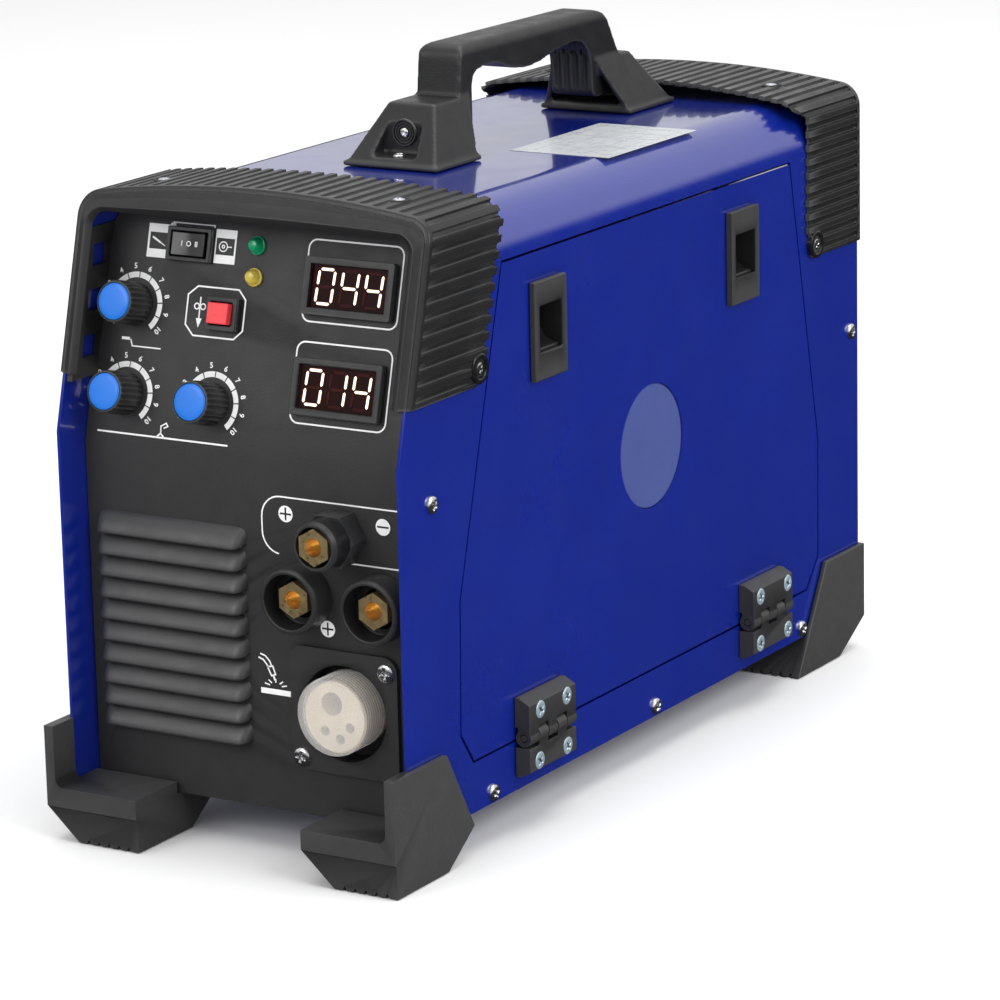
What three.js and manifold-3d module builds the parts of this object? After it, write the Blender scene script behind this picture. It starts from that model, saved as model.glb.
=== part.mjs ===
// A portable wire-feed welding machine: sheet-metal case, moulded front, ribbed hoods, hinged side door
// and the wire feeder behind it. Millimetres, +Z up, front towards -Y, door on the +X side.
import * as THREE from 'three';
import { mergeVertices } from 'three/addons/utils/BufferGeometryUtils.js';
import Module from 'manifold-3d';

const wasm = await Module();
wasm.setup();

// ---------------------------------------------------------------- driving dimensions
const FEET_WIDTH = 190;          // over the outer faces of the feet
const FEET_LENGTH = 460;         // over the front and rear faces of the feet
const FOOT_PROUD = 3;            // outer face of a foot beyond the side sheet
const CASE_TOP = 293.5;          // flat top of the painted sheet
const CASE_BOTTOM = 19.5;        // underside of the case
const CASE_REAR_INSET = 1.5;     // sheet edge behind the rear face of the feet
const CASE_FRONT_INSET = 16.5;   // sheet edge behind the front face of the feet
const CASE_CORNER = 25;          // bend radius between top and sides
const SHEET = 1.5;               // sheet thickness
const GAP = 0.3;                 // gap between pieces that touch
const SLIP = 0.5;                // gap around what turns or slides

const PANEL_RECESS = 19;         // front face behind the edges of the side sheets
const PANEL_WALL = 3;
const CREASE_Z = 182;            // fold between the upright and the leaning front face
const EDGE_CREASE_Z = 190;       // the same fold on the side sheets
const LEAN = THREE.MathUtils.degToRad(14.8);
const REAR_RECESS = 20;

const HOOD_WALL = 2.1;           // ribbed hood outside the sheet
const HOOD_BOTTOM = 216;
const HOOD_RISE = 9.5;           // highest line of the hoods above the sheet, at mid width
const HOOD_SHOULDER_RISE = 3.8;  // the same where the crown meets the corner radius
const HOOD_CORNER = 12;
const HOOD_NOSE = 8;             // rounded rim that wraps the front edge of the sheet
const RIB_PITCH = 7;
const RIB_DEPTH = 1.8;

const LEG_TOP = 54.5;
const LEDGE_TOP = 25.3;
const FOOT_WIDTH = 50;
const TREAD_PITCH = 5.6;
const TREAD_GROOVE = 2.6;
const TREAD_DEPTH = 2;

const HANDLE_HEIGHT = 52.5;      // top of the grip above the sheet
const GRIP_WIDTH = 24;
const HANDLE_FRONT = -71;
const HANDLE_REAR = 157;
const HANDLE_BASE_WIDTH = 52;
const HANDLE_BASE_DEPTH = 41;

const DOOR_GAP = 1.2;
const DOOR_TOP_INSET = 27;       // upper edge of the door below the flat top
const DOOR_BOTTOM = 44;
// Y of the door's front and rear edges at its top, bottom, lower corner and shoulder.
const DOOR_EDGE = {
  front: [-123.5, -157, -167.5, -165.5],
  rear: [153.5, 169, 182, 182.5],
  cornerZ: 59,
  shoulderZ: 120.5,
};
const WINDOW_Y = 10.5;
const WINDOW_Z = 153.8;
const WINDOW_RADIUS = 30.3;
const HINGE_AXIS_Z = 45;
const HINGE_REACH = 9;           // hinge face proud of the side sheet
const HINGE_BARREL = 4.2;
const HINGE_WIDTH = 42;
const HINGE_HEIGHT = 38;
const HINGE_PIN = 1.6;
const HINGE_PLACES = [['front', -101], ['rear', 117]];
const LATCH_WIDTH = 28.5;
const LATCH_HEIGHT = 46;
const LATCH_REACH = 3.4;
const LATCH_FACE = 1.6;          // wall of the latch's face plate
const LATCH_WINDOW = [-10, 11.5]; // finger opening below and above the latch's middle
const LATCH_DROP = 36;           // middle of a latch below the door's upper edge
const LATCH_TRAVEL = 6;
const LATCH_PLACES = [['front', -87], ['rear', 100.5]];

const KNOB_RADIUS = 10;
const KNOB_HEIGHT = 17;
const KNOB_CAP_RADIUS = 9;
const KNOB_INSET = 21.5;         // outer knobs inwards from the side sheet

const SOCKET_INSET = 43.3;       // mid line of the output sockets and the torch plate, from the side sheet
const SOCKET_SPREAD = 21.2;
const SOCKET_Z = 122.5;
const TOP_SOCKET_Z = 152.4;
const SOCKET_RADIUS = 15.2;
const SOCKET_REACH = 13.5;
const TOP_SOCKET_REACH = 23;
const BRASS_FLATS = 15;
const BRASS_WALL = 3.2;          // across the flats, outside the bore
const TORCH_Z = 70.7;
const TORCH_PLATE = [57, 58];
const TORCH_RECESS = 22.5;
const TORCH_WELL_WALL = 2;

const DIVIDER_X = -2;
const SPOOL_Y = 84;
const SPOOL_Z = 158;
const SPOOL_RADIUS = 90;
const SPOOL_NEAR = 18;
const SPOOL_FAR = 70;
const HUB_RADIUS = 12;
const ROLL_Y = -120;
const ROLL_RADIUS = 15;
const PRESSURE_RADIUS = 11;
const WIRE = 1;
const FAN_SIZE = 80;
const FAN_X = -46;
const FAN_Z = 110;
const FAN_DEPTH = 25;

// ---------------------------------------------------------------- values worked out from them
const FOOT_X = FEET_WIDTH / 2;
const SIDE = FOOT_X - FOOT_PROUD;
const FOOT_Y = FEET_LENGTH / 2;
const CASE_FRONT = -FOOT_Y + CASE_FRONT_INSET;
const CASE_REAR = FOOT_Y - CASE_REAR_INSET;
const PANEL_Y = CASE_FRONT + PANEL_RECESS;
const SLOPE = Math.tan(LEAN);
const REAR_Y = CASE_REAR - REAR_RECESS;
const INNER = SIDE - SHEET;
const HOOD_CROWN = CASE_TOP + HOOD_RISE;
const HOOD_SHOULDER = CASE_TOP + HOOD_SHOULDER_RISE;
const HANDLE_TOP = CASE_TOP + HANDLE_HEIGHT;
const DOOR_TOP = CASE_TOP - DOOR_TOP_INSET;
const LATCH_Z = DOOR_TOP - LATCH_DROP;
const SOCKET_X = SIDE - SOCKET_INSET;
const KNOB_PLACES = [
  ['mma_current', KNOB_INSET - SIDE, 64.3],
  ['mig_voltage', KNOB_INSET - SIDE, 23.3],
  ['wire_speed', -23.3, 23],
];
const HOOD_SIDE = SIDE + GAP + HOOD_WALL;
const HINGE_X = SIDE + HINGE_REACH - HINGE_BARREL;
const MID_SHIFT = -(SIDE + HINGE_REACH - FOOT_X) / 2;   // puts the origin under the middle of the box

// ---------------------------------------------------------------- colours
const paint = { blue: 0x1c2f9c, black: 0x26272a, brass: 0xc8923c, zinc: 0xb4b8c0 };
const look = (color, roughness, metalness = 0) => () =>
  new THREE.MeshStandardMaterial({ color, roughness, metalness });
const bluePaint = look(paint.blue, 0.3, 0.2);
const blackPlastic = look(paint.black, 0.55);
const brass = look(paint.brass, 0.3, 1);
const zinc = look(paint.zinc, 0.35, 1);

// ---------------------------------------------------------------- geometry helpers
function outline(points) {
  return new THREE.Shape(points.map(([a, b]) => new THREE.Vector2(a, b)));
}

function extrude(shape, depth, curveSegments = 10) {
  return new THREE.ExtrudeGeometry(shape, { depth, bevelEnabled: false, curveSegments });
}

// A shape drawn in (y, z) and swept along X.
function alongX(shape, x0, x1, segments) {
  const turn = new THREE.Matrix4().set(0, 0, 1, x0, 1, 0, 0, 0, 0, 1, 0, 0, 0, 0, 0, 1);
  return extrude(shape, x1 - x0, segments).applyMatrix4(turn);
}

// A shape drawn in (x, z) and swept along Y.
function alongY(shape, y0, y1, segments) {
  return extrude(shape, y1 - y0, segments).rotateX(Math.PI / 2).translate(0, y1, 0);
}

function block(x0, x1, y0, y1, z0, z1) {
  const box = new THREE.BoxGeometry(x1 - x0, y1 - y0, z1 - z0);
  return box.translate((x0 + x1) / 2, (y0 + y1) / 2, (z0 + z1) / 2);
}

// A round bar between two distances along one axis; a and b place it on the other two axes in x-y-z order.
function bar(axis, radius, from, to, a, b, sides = 28, endRadius = radius) {
  const rod = new THREE.CylinderGeometry(endRadius, radius, to - from, sides).translate(0, (from + to) / 2, 0);
  if (axis === 'x') return rod.rotateZ(-Math.PI / 2).translate(0, a, b);
  if (axis === 'y') return rod.translate(a, 0, b);
  return rod.rotateX(Math.PI / 2).translate(a, b, 0);
}

// A turned piece: points are [radius, distance] from the axis' start to its end; the axis is Y.
function turned(points, sides = 32) {
  return new THREE.LatheGeometry(points.map(([r, d]) => new THREE.Vector2(r, d)), sides);
}

function roundedRect(w, h, r) {
  const shape = new THREE.Shape();
  shape.moveTo(-w / 2 + r, -h / 2);
  shape.lineTo(w / 2 - r, -h / 2);
  shape.absarc(w / 2 - r, -h / 2 + r, r, -Math.PI / 2, 0);
  shape.lineTo(w / 2, h / 2 - r);
  shape.absarc(w / 2 - r, h / 2 - r, r, 0, Math.PI / 2);
  shape.lineTo(-w / 2 + r, h / 2);
  shape.absarc(-w / 2 + r, h / 2 - r, r, Math.PI / 2, Math.PI);
  shape.lineTo(-w / 2, -h / 2 + r);
  shape.absarc(-w / 2 + r, -h / 2 + r, r, Math.PI, Math.PI * 1.5);
  return shape;
}

function solid(geometry) {
  const bare = geometry.clone();
  bare.deleteAttribute('normal');
  bare.deleteAttribute('uv');
  const merged = mergeVertices(bare, 1e-4);
  const mesh = new wasm.Mesh({
    numProp: 3,
    vertProperties: new Float32Array(merged.attributes.position.array),
    triVerts: new Uint32Array(merged.index.array),
  });
  return new wasm.Manifold(mesh);
}

function shaped(manifold) {
  const mesh = manifold.getMesh();
  const geometry = new THREE.BufferGeometry();
  geometry.setAttribute('position', new THREE.BufferAttribute(new Float32Array(mesh.vertProperties), 3));
  geometry.setIndex(new THREE.BufferAttribute(new Uint32Array(mesh.triVerts), 1));
  geometry.computeVertexNormals();
  return geometry;
}

const join = (...parts) => parts.map(solid).reduce((all, next) => all.add(next));
const cut = (body, ...tools) => tools.map(solid).reduce((all, tool) => all.subtract(tool), body);
const both = (a, b) => a.intersect(b);

function node(parent, name, geometry, material) {
  const mesh = new THREE.Mesh(geometry instanceof THREE.BufferGeometry ? geometry : shaped(geometry), material());
  mesh.name = name;
  parent.add(mesh);
  return mesh;
}

const machine = new THREE.Group();
machine.position.x = MID_SHIFT;

// The leaning face has its own frame: x across, -y outwards, z up the slope from the crease.
const facia = new THREE.Group();
facia.position.set(0, PANEL_Y, CREASE_Z);
facia.rotation.x = -LEAN;
machine.add(facia);
facia.updateMatrix();
const leaning = (geometry) => geometry.applyMatrix4(facia.matrix);

// ---------------------------------------------------------------- case
// Front edge of the sheets at a height, upright below the crease and leaning above it.
const edgeY = (z) => CASE_FRONT + Math.max(0, z - EDGE_CREASE_Z) * SLOPE;
const panelY = (z) => PANEL_Y + Math.max(0, z - CREASE_Z) * SLOPE;

function caseSection(offset, bottom = CASE_BOTTOM) {
  const half = SIDE - offset;
  const top = CASE_TOP - offset;
  const r = CASE_CORNER - offset;
  const shape = new THREE.Shape();
  shape.moveTo(-half, bottom);
  shape.lineTo(half, bottom);
  shape.lineTo(half, top - r);
  shape.absarc(half - r, top - r, r, 0, Math.PI / 2);
  shape.lineTo(-half + r, top);
  shape.absarc(-half + r, top - r, r, Math.PI / 2, Math.PI);
  return shape;
}

// The door's outline in (y, z), grown by a margin.
function doorOutline(margin = 0) {
  const { front, rear, cornerZ, shoulderZ } = DOOR_EDGE;
  const corners = [[front[1], DOOR_BOTTOM], [rear[1], DOOR_BOTTOM], [rear[2], cornerZ], [rear[3], shoulderZ],
    [rear[0], DOOR_TOP], [front[0], DOOR_TOP], [front[3], shoulderZ], [front[2], cornerZ]];
  const middle = [(front[1] + rear[1]) / 2, (DOOR_TOP + DOOR_BOTTOM) / 2];
  const half = [(rear[3] - front[2]) / 2, (DOOR_TOP - DOOR_BOTTOM) / 2];
  return outline(corners.map(([y, z]) => [
    y + margin * (y - middle[0]) / half[0],
    z + margin * (z - middle[1]) / half[1],
  ]));
}

function caseShell() {
  const outer = solid(alongY(caseSection(0), CASE_FRONT, CASE_REAR));
  const inner = alongY(caseSection(SHEET, CASE_BOTTOM - 5), CASE_FRONT - 1, CASE_REAR + 1);
  const frontCut = alongX(outline([[CASE_FRONT - 5, EDGE_CREASE_Z], [CASE_FRONT, EDGE_CREASE_Z],
    [edgeY(CASE_TOP + 5), CASE_TOP + 5], [CASE_FRONT - 5, CASE_TOP + 5]]), -SIDE - 5, SIDE + 5);
  const doorway = alongX(doorOutline(DOOR_GAP), INNER - 5, SIDE + 5);
  return cut(outer, inner, frontCut, doorway);
}

function baseTray() {
  const half = INNER - GAP;
  const wall = SHEET;
  const section = outline([[-half, CASE_BOTTOM], [half, CASE_BOTTOM], [half, CASE_BOTTOM + 14],
    [half - wall, CASE_BOTTOM + 14], [half - wall, CASE_BOTTOM + wall], [-half + wall, CASE_BOTTOM + wall],
    [-half + wall, CASE_BOTTOM + 14], [-half, CASE_BOTTOM + 14]]);
  return solid(alongY(section, PANEL_Y + PANEL_WALL + GAP, REAR_Y - GAP));
}

node(machine, 'case_shell', caseShell(), bluePaint);
node(machine, 'base_tray', baseTray(), bluePaint);

// ---------------------------------------------------------------- front panel
const FACIA_GAP = 2.25;          // upper end of the leaning face below the flat top
const LOUVRES = 10;
const LOUVRE_PITCH = 10.2;
const LOUVRE_TOP = 148.5;
const LOUVRE_SPAN = [9 - SIDE, -5];
const LOUVRE_REACH = 5;
const LIP_WALL = 3;

function louvreHood(topZ) {
  const profile = new THREE.Shape();
  profile.moveTo(PANEL_Y + 1, topZ);
  profile.lineTo(PANEL_Y, topZ);
  profile.quadraticCurveTo(PANEL_Y - LOUVRE_REACH * 0.55, topZ - 3, PANEL_Y - LOUVRE_REACH, topZ - 6.5);
  profile.lineTo(PANEL_Y - LOUVRE_REACH + 1.4, topZ - 6.5);
  profile.quadraticCurveTo(PANEL_Y - LOUVRE_REACH * 0.45, topZ - 4.5, PANEL_Y + 1, topZ - 1.8);
  return alongX(profile, LOUVRE_SPAN[0] + 3, LOUVRE_SPAN[1] - 3, 5);
}

function frontPanel() {
  const topZ = CASE_TOP - FACIA_GAP;
  const bottom = CASE_BOTTOM;
  const profile = outline([[PANEL_Y, bottom], [PANEL_Y + PANEL_WALL, bottom],
    [PANEL_Y + PANEL_WALL, CREASE_Z], [panelY(topZ) + PANEL_WALL, topZ], [panelY(topZ), topZ],
    [PANEL_Y, CREASE_Z]]);
  let body = solid(alongX(profile, -INNER + GAP, INNER - GAP));
  // Forward lips beside the leaning face, each with three windows.
  const lip = outline([[panelY(HOOD_BOTTOM - 4) + 1, HOOD_BOTTOM - 4], [panelY(topZ) + 1, topZ],
    [edgeY(topZ) + 1, topZ], [edgeY(HOOD_BOTTOM - 4) + 1, HOOD_BOTTOM - 4]]);
  for (const side of [-1, 1]) {
    const x0 = side > 0 ? INNER - GAP - LIP_WALL : -INNER + GAP;
    body = body.add(solid(alongX(lip, x0, x0 + LIP_WALL)));
    for (let i = 0; i < 3; i += 1) {
      const z = 226 + i * 20.3;
      const slot = outline([[panelY(z) - 15, z - 5], [panelY(z) - 3, z - 5], [panelY(z) - 1, z + 5],
        [panelY(z) - 13, z + 5]]);
      body = cut(body, alongX(slot, x0 - 1, x0 + LIP_WALL + 1));
    }
  }
  for (let i = 0; i < LOUVRES; i += 1) {
    const z = LOUVRE_TOP - i * LOUVRE_PITCH;
    body = body.add(solid(louvreHood(z)));
    body = cut(body, block(LOUVRE_SPAN[0] + 5, LOUVRE_SPAN[1] - 5, PANEL_Y - 1, PANEL_Y + PANEL_WALL + 1,
      z - 7.5, z - 4));
  }
  const through = [PANEL_Y - 2, PANEL_Y + PANEL_WALL + 2];
  for (const [x, z] of socketPlaces) body = cut(body, bar('y', SOCKET_BODY + GAP, ...through, x, z));
  body = cut(body, bar('y', TORCH_RECESS + TORCH_WELL_WALL + GAP, ...through, SOCKET_X, TORCH_Z, 40));
  for (const [, x, s] of KNOB_PLACES) body = cut(body, leaning(bar('y', 3.5 + GAP, -5, 10, x, s, 16)));
  for (const [x, s, bw, bh] of faciaCutouts) {
    body = cut(body, leaning(block(x - bw / 2, x + bw / 2, -5, 10, s - bh / 2, s + bh / 2)));
  }
  for (const [, x, s] of LED_PLACES) body = cut(body, leaning(bar('y', LED_RADIUS - 0.7 + GAP, -5, 10, x, s, 16)));
  return both(body, solid(alongY(caseSection(SHEET + GAP), CASE_FRONT - 10, 0)));
}

const SOCKET_BODY = 11;
const socketPlaces = [[SOCKET_X, TOP_SOCKET_Z], [SOCKET_X - SOCKET_SPREAD, SOCKET_Z],
  [SOCKET_X + SOCKET_SPREAD, SOCKET_Z]];
const MODE_SWITCH = [49 - SIDE, 93.5];
const MODE_SIZE = [24, 15.5];
const INCH_BUTTON = [-21, 63.8];
const INCH_SIZE = [16.5, 15];
const METERS = [['current', SIDE - 47.3, 80.6], ['voltage', SIDE - 47.8, 35.6]];
const METER_SIZE = [47, 26];
const WINDOW_SIZE = [40.5, 19.6];
const LED_RADIUS = 4.2;
const LED_PLACES = [['power', -7, 95.9], ['overload', -7, 81.6]];
const faciaCutouts = [
  [...MODE_SWITCH, MODE_SIZE[0] - 3, MODE_SIZE[1] - 3],
  [...INCH_BUTTON, INCH_SIZE[0] - 3, INCH_SIZE[1] - 3],
  ...METERS.map(([, x, s]) => [x, s, METER_SIZE[0] - 4, METER_SIZE[1] - 4]),
];
node(machine, 'front_panel', frontPanel(), blackPlastic);

// ---------------------------------------------------------------- controls on the leaning face
function knob() {
  const flutes = 18;
  const ring = [];
  for (let i = 0; i < flutes * 2; i += 1) {
    const angle = (i / (flutes * 2)) * Math.PI * 2;
    const r = i % 2 ? KNOB_RADIUS : KNOB_RADIUS - 0.7;
    ring.push([r * Math.cos(angle), r * Math.sin(angle)]);
  }
  const body = alongY(outline(ring), -KNOB_HEIGHT, -SLIP);
  const shaft = bar('y', 3.5 - SLIP / 2, -SLIP - 1, PANEL_WALL + 8, 0, 0, 16);
  const seat = bar('y', KNOB_CAP_RADIUS - 0.6, -KNOB_HEIGHT - 1, -KNOB_HEIGHT + 1.6, 0, 0, 24);
  return cut(join(body, shaft), seat);
}

function knobCap() {
  const r = KNOB_CAP_RADIUS - 0.6 - GAP;
  const face = KNOB_HEIGHT + 0.8;
  return turned([[0, -KNOB_HEIGHT + 1.3], [r, -KNOB_HEIGHT + 1.3], [r, -face + 0.6], [r - 0.8, -face],
    [0, -face - 0.3]].reverse(), 28);
}

for (const [name, x, s] of KNOB_PLACES) {
  node(facia, `knob_${name}`, knob(), blackPlastic).position.set(x, 0, s);
  node(facia, `knob_cap_${name}`, knobCap(), look(0x2a7ff0, 0.35)).position.set(x, 0, s);
}

// A frame with a flange on the face, a body through the panel and a well for what moves in it.
function switchFrame([w, h], rim, reach, depth, floor = 1.2) {
  const flange = block(-w / 2, w / 2, -reach, -GAP, -h / 2, h / 2);
  const bodyPart = block(-w / 2 + 1.8, w / 2 - 1.8, -1, depth, -h / 2 + 1.8, h / 2 - 1.8);
  const well = block(-w / 2 + rim, w / 2 - rim, -reach - 1, depth - floor, -h / 2 + rim, h / 2 - rim);
  return cut(join(flange, bodyPart), well);
}

const ROCKER_ANGLE = THREE.MathUtils.degToRad(11);
function rocker(w, h, reach, depth) {
  // Two faces that meet in a shallow valley, on a round back that swings in the well.
  const half = w / 2;
  const profile = new THREE.Shape();
  profile.moveTo(-half, -reach);
  profile.lineTo(0, -reach + half * Math.tan(ROCKER_ANGLE));
  profile.lineTo(half, -reach);
  profile.lineTo(half * 0.86, 1);
  profile.lineTo(half * 0.4, depth);
  profile.lineTo(-half * 0.4, depth);
  profile.lineTo(-half * 0.86, 1);
  return extrude(profile, h).translate(0, 0, -h / 2);
}

const MODE_RIM = 2;
node(facia, 'mode_switch_frame', switchFrame(MODE_SIZE, MODE_RIM, 3, 16), blackPlastic)
  .position.set(MODE_SWITCH[0], 0, MODE_SWITCH[1]);
node(facia, 'mode_rocker', rocker(MODE_SIZE[0] - 2 * MODE_RIM - 2.2, MODE_SIZE[1] - 2 * MODE_RIM - SLIP * 2, 3.6, 6),
  look(0x101113, 0.25)).position.set(MODE_SWITCH[0], 0, MODE_SWITCH[1]);

const INCH_RIM = 2.2;
const INCH_TRAVEL = 2;
const INCH_REACH = 5.2;
node(facia, 'inch_button_housing', switchFrame(INCH_SIZE, INCH_RIM, 4, 14), blackPlastic)
  .position.set(INCH_BUTTON[0], 0, INCH_BUTTON[1]);
node(facia, 'inch_button', block(-INCH_SIZE[0] / 2 + INCH_RIM + SLIP, INCH_SIZE[0] / 2 - INCH_RIM - SLIP,
  -INCH_REACH - 1.6, 12.8 - INCH_TRAVEL - SLIP, -INCH_SIZE[1] / 2 + INCH_RIM + SLIP, INCH_SIZE[1] / 2 - INCH_RIM - SLIP),
look(0xe8383f, 0.35)).position.set(INCH_BUTTON[0], 0, INCH_BUTTON[1]);

function meter() {
  const [w, h] = METER_SIZE;
  const flange = alongY(roundedRect(w, h, 1.5), -4, -GAP, 4);
  const box = block(-w / 2 + 2 + GAP, w / 2 - 2 - GAP, -1, 12, -h / 2 + 2 + GAP, h / 2 - 2 - GAP);
  const face = block(-WINDOW_SIZE[0] / 2, WINDOW_SIZE[0] / 2, -6, -1.8, -WINDOW_SIZE[1] / 2, WINDOW_SIZE[1] / 2);
  return cut(join(flange, box), face);
}
for (const [name, x, s] of METERS) {
  node(facia, `meter_${name}`, meter(), look(0x2d2e31, 0.45)).position.set(x, 0, s);
}

function led() {
  const dome = LED_RADIUS - 0.6;
  const stem = LED_RADIUS - 0.7;
  return turned([[0, -5.8], [dome * 0.6, -5.2], [dome * 0.9, -3.8], [dome, -1.6], [LED_RADIUS, -1.4],
    [LED_RADIUS, -GAP], [stem, -GAP], [stem, 6], [0, 6]], 20);
}
for (const [name, x, s] of LED_PLACES) {
  node(facia, `led_${name}`, led(), look(name === 'power' ? 0x1d9a50 : 0xd8c040, 0.15)).position.set(x, 0, s);
}

// ---------------------------------------------------------------- output sockets and torch connector
function hexagon(flats, turn = 0) {
  const r = flats / Math.sqrt(3);
  const corners = [0, 1, 2, 3, 4, 5].map((i) => turn + i * Math.PI / 3);
  return outline(corners.map((a) => [r * Math.cos(a), r * Math.sin(a)]));
}

function socketShroud(reach, tall) {
  const bodyR = SOCKET_BODY;
  const bore = BRASS_FLATS / Math.sqrt(3) + 0.7;
  const back = PANEL_WALL + 14;
  if (!tall) {
    return turned([[bodyR, -GAP], [SOCKET_RADIUS, -GAP], [SOCKET_RADIUS, -reach + 1], [SOCKET_RADIUS - 1, -reach],
      [SOCKET_RADIUS - 2.4, -reach], [SOCKET_RADIUS - 2.8, -3], [bore, -3], [bore, back], [bodyR, back],
      [bodyR, -GAP]].reverse(), 36);
  }
  const collar = turned([[bodyR, -GAP - 1], [bodyR + 0.6, -reach + 2], [bodyR - 0.6, -reach], [bore, -reach],
    [bore, back], [bodyR, back], [bodyR, -GAP - 1]].reverse(), 32);
  const nut = cut(solid(alongY(hexagon(23), -11, -GAP)), bar('y', bodyR - 1, -12, 1, 0, 0, 32));
  return solid(collar).add(nut);
}

function socketBrass(reach) {
  const head = alongY(hexagon(BRASS_FLATS, Math.PI / 6), -reach, -reach + 5);
  const stem = bar('y', BRASS_FLATS / 2 - 0.3, -reach + 4, PANEL_WALL + 22, 0, 0, 24);
  return cut(join(head, stem), bar('y', BRASS_FLATS / 2 - BRASS_WALL, -reach - 1, -reach + 13, 0, 0, 24));
}

const socketKinds = [['electrode', TOP_SOCKET_REACH, TOP_SOCKET_REACH, true],
  ['positive', SOCKET_REACH, SOCKET_REACH - 4.7, false], ['negative', SOCKET_REACH, SOCKET_REACH - 4.7, false]];
socketPlaces.forEach(([x, z], i) => {
  const [name, reach, brassReach, tall] = socketKinds[i];
  node(machine, `socket_${name}`, socketShroud(reach, tall), blackPlastic).position.set(x, PANEL_Y, z);
  node(machine, `contact_${name}`, socketBrass(brassReach), brass).position.set(x, PANEL_Y, z);
});

const CAP_RADIUS = 18.3;
const CONNECTOR_RADIUS = 16.5;
const TORCH_BACK = 12;
const CAP_REACH = 13;            // cap face proud of the panel
const CAP_WALL = 2.5;
function torchPlate() {
  const [w, h] = TORCH_PLATE;
  const plate = alongY(roundedRect(w, h, 7), -2.5, -GAP, 5);
  const well = bar('y', TORCH_RECESS + TORCH_WELL_WALL, -1, TORCH_BACK, 0, 0, 40);
  const recess = bar('y', TORCH_RECESS, -4, TORCH_BACK - 2, 0, 0, 40);
  const throat = bar('y', CONNECTOR_RADIUS - 3, TORCH_BACK - 3, TORCH_BACK + 1, 0, 0, 32);
  return cut(join(plate, well), recess, throat);
}

function torchConnector() {
  const front = -CAP_REACH + CAP_WALL + SLIP;
  const body = turned([[0, front], [CONNECTOR_RADIUS - 1, front], [CONNECTOR_RADIUS, front + 1],
    [CONNECTOR_RADIUS, TORCH_BACK - 2 - GAP], [CONNECTOR_RADIUS - 3 - GAP, TORCH_BACK - 2 - GAP],
    [CONNECTOR_RADIUS - 3 - GAP, TORCH_BACK + 16], [0, TORCH_BACK + 16]], 36);
  const bores = [bar('y', 5.5, front - 1, 40, -1.5, 6.5, 20)];
  for (const [x, z] of [[-5.5, -6.5], [2.5, -9.5], [7.8, -3.6]]) {
    bores.push(bar('y', 2.4, front - 1, front + 9, x, z, 14));
  }
  return cut(solid(body), ...bores);
}

function torchCap() {
  const inner = CONNECTOR_RADIUS + GAP;
  const inside = -CAP_REACH + CAP_WALL;
  return turned([[0, -CAP_REACH], [CAP_RADIUS - 1.2, -CAP_REACH], [CAP_RADIUS, -CAP_REACH + 1.2], [CAP_RADIUS, 4],
    [inner, 4], [inner, inside], [0, inside]], 40);
}
for (const [name, geometry, material] of [['torch_plate', torchPlate(), blackPlastic],
  ['torch_connector', torchConnector(), brass],
  ['torch_cap', torchCap(), look(0xe6e0d6, 0.35)]]) {
  node(machine, name, geometry, material).position.set(SOCKET_X, PANEL_Y, TORCH_Z);
}

// ---------------------------------------------------------------- ribbed hoods
// Right half of the hood's outer outline in (x, z), from the bottom edge up to the middle.
function hoodHalf(inset = 0) {
  const half = HOOD_SIDE - inset;
  const points = [[half, HOOD_BOTTOM]];
  const arcZ = HOOD_SHOULDER - HOOD_CORNER;
  for (let i = 0; i <= 6; i += 1) {
    const a = (i / 6) * Math.PI / 2;
    const r = HOOD_CORNER - inset;
    points.push([HOOD_SIDE - HOOD_CORNER + r * Math.cos(a), arcZ + r * Math.sin(a)]);
  }
  const shoulder = HOOD_SIDE - HOOD_CORNER;
  for (let i = 5; i >= 0; i -= 1) {
    const x = shoulder * (i / 6);
    const rise = (HOOD_CROWN - HOOD_SHOULDER) * (1 - (x / shoulder) ** 2);
    points.push([x, HOOD_SHOULDER - inset + rise]);
  }
  return points;
}

// The same outline with a groove every rib pitch, measured along the line.
function ribbedHalf() {
  const smooth = hoodHalf();
  const line = new THREE.CurvePath();
  for (let i = 1; i < smooth.length; i += 1) {
    line.add(new THREE.LineCurve(new THREE.Vector2(...smooth[i - 1]), new THREE.Vector2(...smooth[i])));
  }
  const length = line.getLength();
  const count = Math.floor(length / RIB_PITCH);
  const pitch = length / count;
  const points = [];
  const steps = [[0, 0], [0.36, 0], [0.5, 1], [0.78, 1], [0.92, 0]];
  for (let i = 0; i < count; i += 1) {
    for (const [part, deep] of steps) {
      const t = ((i + part) * pitch) / length;
      const place = line.getPoint(t);
      const way = line.getTangent(t);
      points.push([place.x - deep * RIB_DEPTH * way.y, place.y + deep * RIB_DEPTH * way.x]);
    }
  }
  points.push([0, HOOD_CROWN]);
  return points.map(([x, z]) => [x, z]);
}

function archFrom(half) {
  const left = half.filter(([x]) => x > 0.01).map(([x, z]) => [-x, z]).reverse();
  return outline([...half, ...left]);
}

function hood(sideProfile, ribFrom, ribTo, plainFrom, plainTo) {
  const ribbed = solid(alongY(archFrom(ribbedHalf()), ribFrom, ribTo));
  const plain = solid(alongY(archFrom(hoodHalf()), plainFrom, plainTo));
  const envelope = solid(alongX(sideProfile, -HOOD_SIDE - 1, HOOD_SIDE + 1));
  return both(ribbed.add(plain), envelope);
}

// What the hood has to clear: the sheet, grown by a gap.
function caseRoom(y0, y1) {
  return alongY(caseSection(-GAP), y0, y1);
}

const BOSS_RADIUS = 6.2;
const BOSS_REACH = 0.6;          // screw boss proud of the hood's side
function hoodBoss(y, z) {
  const [near, far] = [SIDE + GAP, HOOD_SIDE + BOSS_REACH];
  return [bar('x', BOSS_RADIUS, near, far, y, z, 24), bar('x', BOSS_RADIUS, -far, -near, y, z, 24)];
}

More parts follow.
